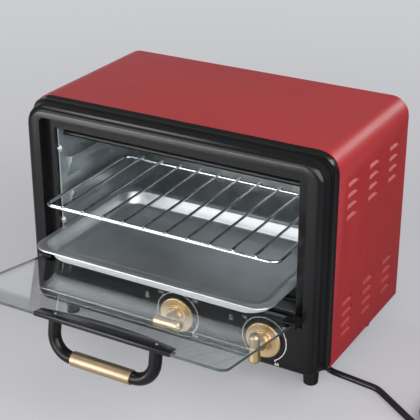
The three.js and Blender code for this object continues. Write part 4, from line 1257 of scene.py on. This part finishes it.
@dataclass
class BakingTray:
    """Pressed tray with a flat rim, steep walls and a raised panel in its floor."""

    half_x: float = 142.3
    front: float = -48.6
    length: float = 190.0
    corner: float = 20.0
    wall_corner: float = 24.0
    floor_corner: float = 22.0
    rim_top: float = 123.75
    rim_width: float = 6.5
    lip: float = 1.6
    depth: float = 15.5
    wall_run: float = 5.0
    foot: float = 5.0
    sheet: float = 1.0
    panel_side: float = 22.0
    panel_end: float = 33.0
    panel_run: float = 4.0
    panel_rise: float = 1.0
    panel_corner: float = 12.0

    def arc(self, radius: float, up: bool) -> list[Pair]:
        """Rounding between wall and floor, as inset and height."""
        centre = self.rim_width + self.wall_run + self.foot
        height = self.rim_top - self.depth + self.foot
        line = [(centre - radius * math.cos(a), height - radius * math.sin(a)) for a in quarter(8)]
        return line if up else line[::-1]

    def ring(self, inset: float, z: float) -> list[Vector]:
        """Outline of the tray at an inset and a height."""
        wall_foot = self.rim_width + self.wall_run + self.foot
        if inset < self.rim_width:
            radius = self.corner + (self.wall_corner - self.corner) * inset / self.rim_width
        else:
            share = (inset - self.rim_width) / (wall_foot - self.rim_width)
            radius = self.wall_corner + (self.floor_corner - self.wall_corner) * share
        middle = self.front + self.length / 2
        half_x, half_y = self.half_x - inset, self.length / 2 - inset
        return rounded_ring(half_x, half_y, radius, z, steps=14, centre=(0, middle))

    def panel_ring(self, inset: float, z: float) -> list[Vector]:
        """Outline of the raised panel at an inset from its foot and a height."""
        middle = self.front + self.length / 2
        half_x = self.half_x - self.panel_side - inset
        half_y = self.length / 2 - self.panel_end - inset
        return rounded_ring(half_x, half_y, self.panel_corner, z, steps=14, centre=(0, middle))

    def build(self) -> None:
        """Build the tray in place of its CAD node."""
        top = self.rim_top
        floor = top - self.depth
        run, rise = self.panel_run, self.panel_rise
        slope = [
            (0.0, floor), (1.0, floor + 0.1), (run - 1.0, floor + rise - 0.1), (run, floor + rise),
        ]
        edge = rounded([
            (self.rim_width + 0.6, top - 1.2), (self.rim_width, top), (0.0, top), (0.0, top - self.lip),
        ], radius=0.8, steps=4)
        under = [
            (self.sheet, top - self.lip), (self.sheet, top - self.sheet),
            (self.rim_width - self.sheet, top - self.sheet),
        ]
        rings = [
            *(self.panel_ring(inset, z) for inset, z in reversed(slope)),
            *(self.ring(inset, z) for inset, z in self.arc(self.foot, False)),
            *(self.ring(inset, z) for inset, z in [*edge, *under]),
            *(self.ring(inset, z) for inset, z in self.arc(self.foot + self.sheet, True)),
            *(self.panel_ring(inset, z - self.sheet) for inset, z in slope),
        ]
        form = loft(rings).moved(ORIGIN)
        piece("tray_sheet", form, Body.TRAY, ALUMINIUM, ["baking_tray"], crease=60)


# Controls


@dataclass
class Control:
    """A knob with its shaft and the dial printed round it."""

    name: str
    body: Body
    x: float
    turn: float
    labels: tuple[str, ...]
    first: float
    last: float
    z: float = 61.0
    gap: float = 0.8
    radius: float = 20.0
    skirt: float = 3.0
    ring: float = 9.5
    dome: float = 8.8
    dome_height: float = 18.0
    stand_off: float = 20.5
    lever_half: float = 17.5
    lever_radius: float = 5.8
    lever_tip: float = 0.8
    flare: float = 1.2
    ticks_apart: int = 4
    dial_radius: float = 25.2
    tick_short: float = 0.9
    tick_long: float = 1.7
    label_reach: float = 4.8
    label_size: float = 5.0
    ink_width: float = 0.7
    ink_lift: float = 0.01
    ink_depth: float = 0.05

    def knob(self) -> None:
        """Knob of a disc, a raised ring, a dome and a waisted lever."""
        face = self.gap + self.skirt
        disc = [
            (0.0, self.gap), (self.radius - 0.5, self.gap), (self.radius, self.gap + 0.5),
            (self.radius, face - 0.9), (self.radius - 1.0, face), (self.ring + 1.6, face - 0.5),
            (self.ring + 1.2, face + 0.8), (self.ring, face + 0.9), (self.ring - 0.4, face),
        ]
        dome = [(self.dome * math.cos(a), face + self.dome_height * math.sin(a)) for a in quarter(12)]
        turned = lathe([*rounded([*disc, dome[0]], radius=0.7, steps=3), *dome[1:]], sides=64)
        lever = lathe(self.lever_line(), sides=40).moved(shift(0, 0, self.stand_off) @ TO_RIGHT)
        place = frame_place(self.x, 0, self.z) @ TO_FRONT @ Matrix.Rotation(self.turn, 4, "Z")
        whole = turned.plus(lever).moved(place)
        replaced = [f"{self.name}_knob"]
        piece(f"{self.name}_handle", whole, self.body, GOLD, replaced, crease=40)

    def lever_line(self) -> list[Pair]:
        """Radius along the lever: full at both round ends and narrow between them."""
        steps = 36
        line = []
        for i in range(steps + 1):
            share = -math.cos(i / steps * math.pi)
            height = share * self.lever_half
            waist = self.lever_radius + self.flare * share ** 2
            tip = waist * self.lever_tip
            past = max(abs(height) - self.lever_half + tip, 0)
            line.append((waist * math.sqrt(max(1 - past ** 2 / tip ** 2, 0)), height))
        return line

    def ink_bar(self, start: Pair, end: Pair, width: float) -> Form:
        """A printed bar between two places on the panel, in mm."""
        a, b = Vector(start), Vector(end)
        side = (b - a).orthogonal().normalized() * width / 2
        outline = [a - side, b - side, b + side, a + side]
        levels = (self.ink_lift, self.ink_depth)
        return loft([[Vector((p.x, p.y, level)) for p in outline] for level in levels])

    def dial(self) -> None:
        """White ring, ticks and plain numbers printed on the panel."""
        steps = 60
        spread = self.last - self.first
        radius = self.dial_radius
        on_ring = [self.polar(self.first + spread * i / steps, radius) for i in range(steps + 1)]
        bars = list(zip(on_ring, on_ring[1:]))
        ticks = self.ticks_apart * (len(self.labels) - 1)
        for i in range(ticks + 1):
            angle = self.first + spread * i / ticks
            reach = self.tick_short if i % self.ticks_apart else self.tick_long
            bars.append((self.polar(angle, radius), self.polar(angle, radius + reach)))
        ink = Form().plus(*(self.ink_bar(a, b, self.ink_width) for a, b in bars))
        for i, text in enumerate(self.labels):
            angle = self.first + spread * i / (len(self.labels) - 1)
            ink = ink.plus(self.number(text, self.polar(angle, radius + self.label_reach)))
        place = frame_place(self.x, 0, self.z) @ TO_FRONT
        piece(f"{self.name}_dial", ink.moved(place), Body.OVEN, INK)

    @staticmethod
    def polar(degrees: float, radius: float) -> Pair:
        """Place at an angle, clockwise from the top."""
        angle = math.radians(degrees)
        return (radius * math.sin(angle), radius * math.cos(angle))

    def number(self, text: str, spot: Pair) -> Form:
        """A small printed number, centred on a spot."""
        curve = bpy.data.curves.new("number", "FONT")
        curve.body = text
        curve.size = self.label_size
        curve.align_x = "CENTER"
        curve.align_y = "CENTER"
        curve.resolution_u = 2
        curve.extrude = self.ink_depth / 2
        holder = bpy.data.objects.new("number", curve)
        mesh = holder.to_mesh()
        lift = Vector((*spot, self.ink_depth / 2 + self.ink_lift))
        points = [(v.co + lift) * MM for v in mesh.vertices]
        form = Form(points, [tuple(p.vertices) for p in mesh.polygons])
        holder.to_mesh_clear()
        bpy.data.objects.remove(holder)
        bpy.data.curves.remove(curve)
        return form

    def build(self) -> None:
        """Build the knob and print its dial."""
        self.knob()
        self.dial()
        dress(BRASS, f"{self.name}_shaft", crease=40)


@dataclass
class Controls:
    """Both controls, the marks beside their dials and the units behind the panel."""

    mark_places: tuple[Pair, ...] = ((-25.6, 76.0), (76.8, 77.0))
    mark_radii: Pair = (1.9, 1.3)
    bar_half: float = 2.6
    bar_drop: float = 3.6
    bar_width: float = 0.8
    temperature: Control = field(default_factory=lambda: Control(
        "temperature", Body.TEMPERATURE, 12.5, 0.0, ("100", "150", "200", "250"), -135.0, 135.0,
    ))
    timer: Control = field(default_factory=lambda: Control(
        "timer", Body.TIMER, 116.0, math.pi / 2, ("0", "20", "40", "60"), -150.0, 150.0,
    ))

    def build(self) -> None:
        """Build both and dress the units behind the panel."""
        self.temperature.build()
        self.timer.build()
        self.marks()
        dress(SWITCH_PLASTIC, "thermostat", "timer_unit", crease=40)

    def marks(self) -> None:
        """Plain ring and bar printed above and left of each dial."""
        ink = Form()
        low, high = self.timer.ink_lift, self.timer.ink_depth
        outer, inner = self.mark_radii
        for x, z in self.mark_places:
            outline = ((outer, low), (outer, high), (inner, high), (inner, low))
            rings = [rounded_ring(r, r, r, level, steps=6, centre=(x, z)) for r, level in outline]
            left, right = ((x + half, z - self.bar_drop) for half in (-self.bar_half, self.bar_half))
            ink = ink.plus(loft(rings, closed=True), self.timer.ink_bar(left, right, self.bar_width))
        piece("dial_marks", ink.moved(ORIGIN @ TO_FRONT), Body.OVEN, INK)


def clear_start_scene() -> None:
    """Remove the starting scene's objects, so that only the frame is left."""
    for name in ("Cube", "Light", "Camera"):
        obj = bpy.data.objects.get(name)
        if obj is not None:
            bpy.data.objects.remove(obj)


def main() -> None:
    """Build the studio and every part of the oven."""
    logging.basicConfig(level=logging.INFO, format="%(message)s")
    clear_start_scene()
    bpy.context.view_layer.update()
    bpy.context.scene.view_settings.view_transform = "Standard"
    studio = Studio()
    studio.camera()
    MainsCord().build()
    studio.stage()
    studio.room()
    studio.lights()
    Housing().build()
    Cavity().build()
    Door().build()
    WireRack().build()
    BakingTray().build()
    Controls().build()


if __name__ == "__main__":
    main()
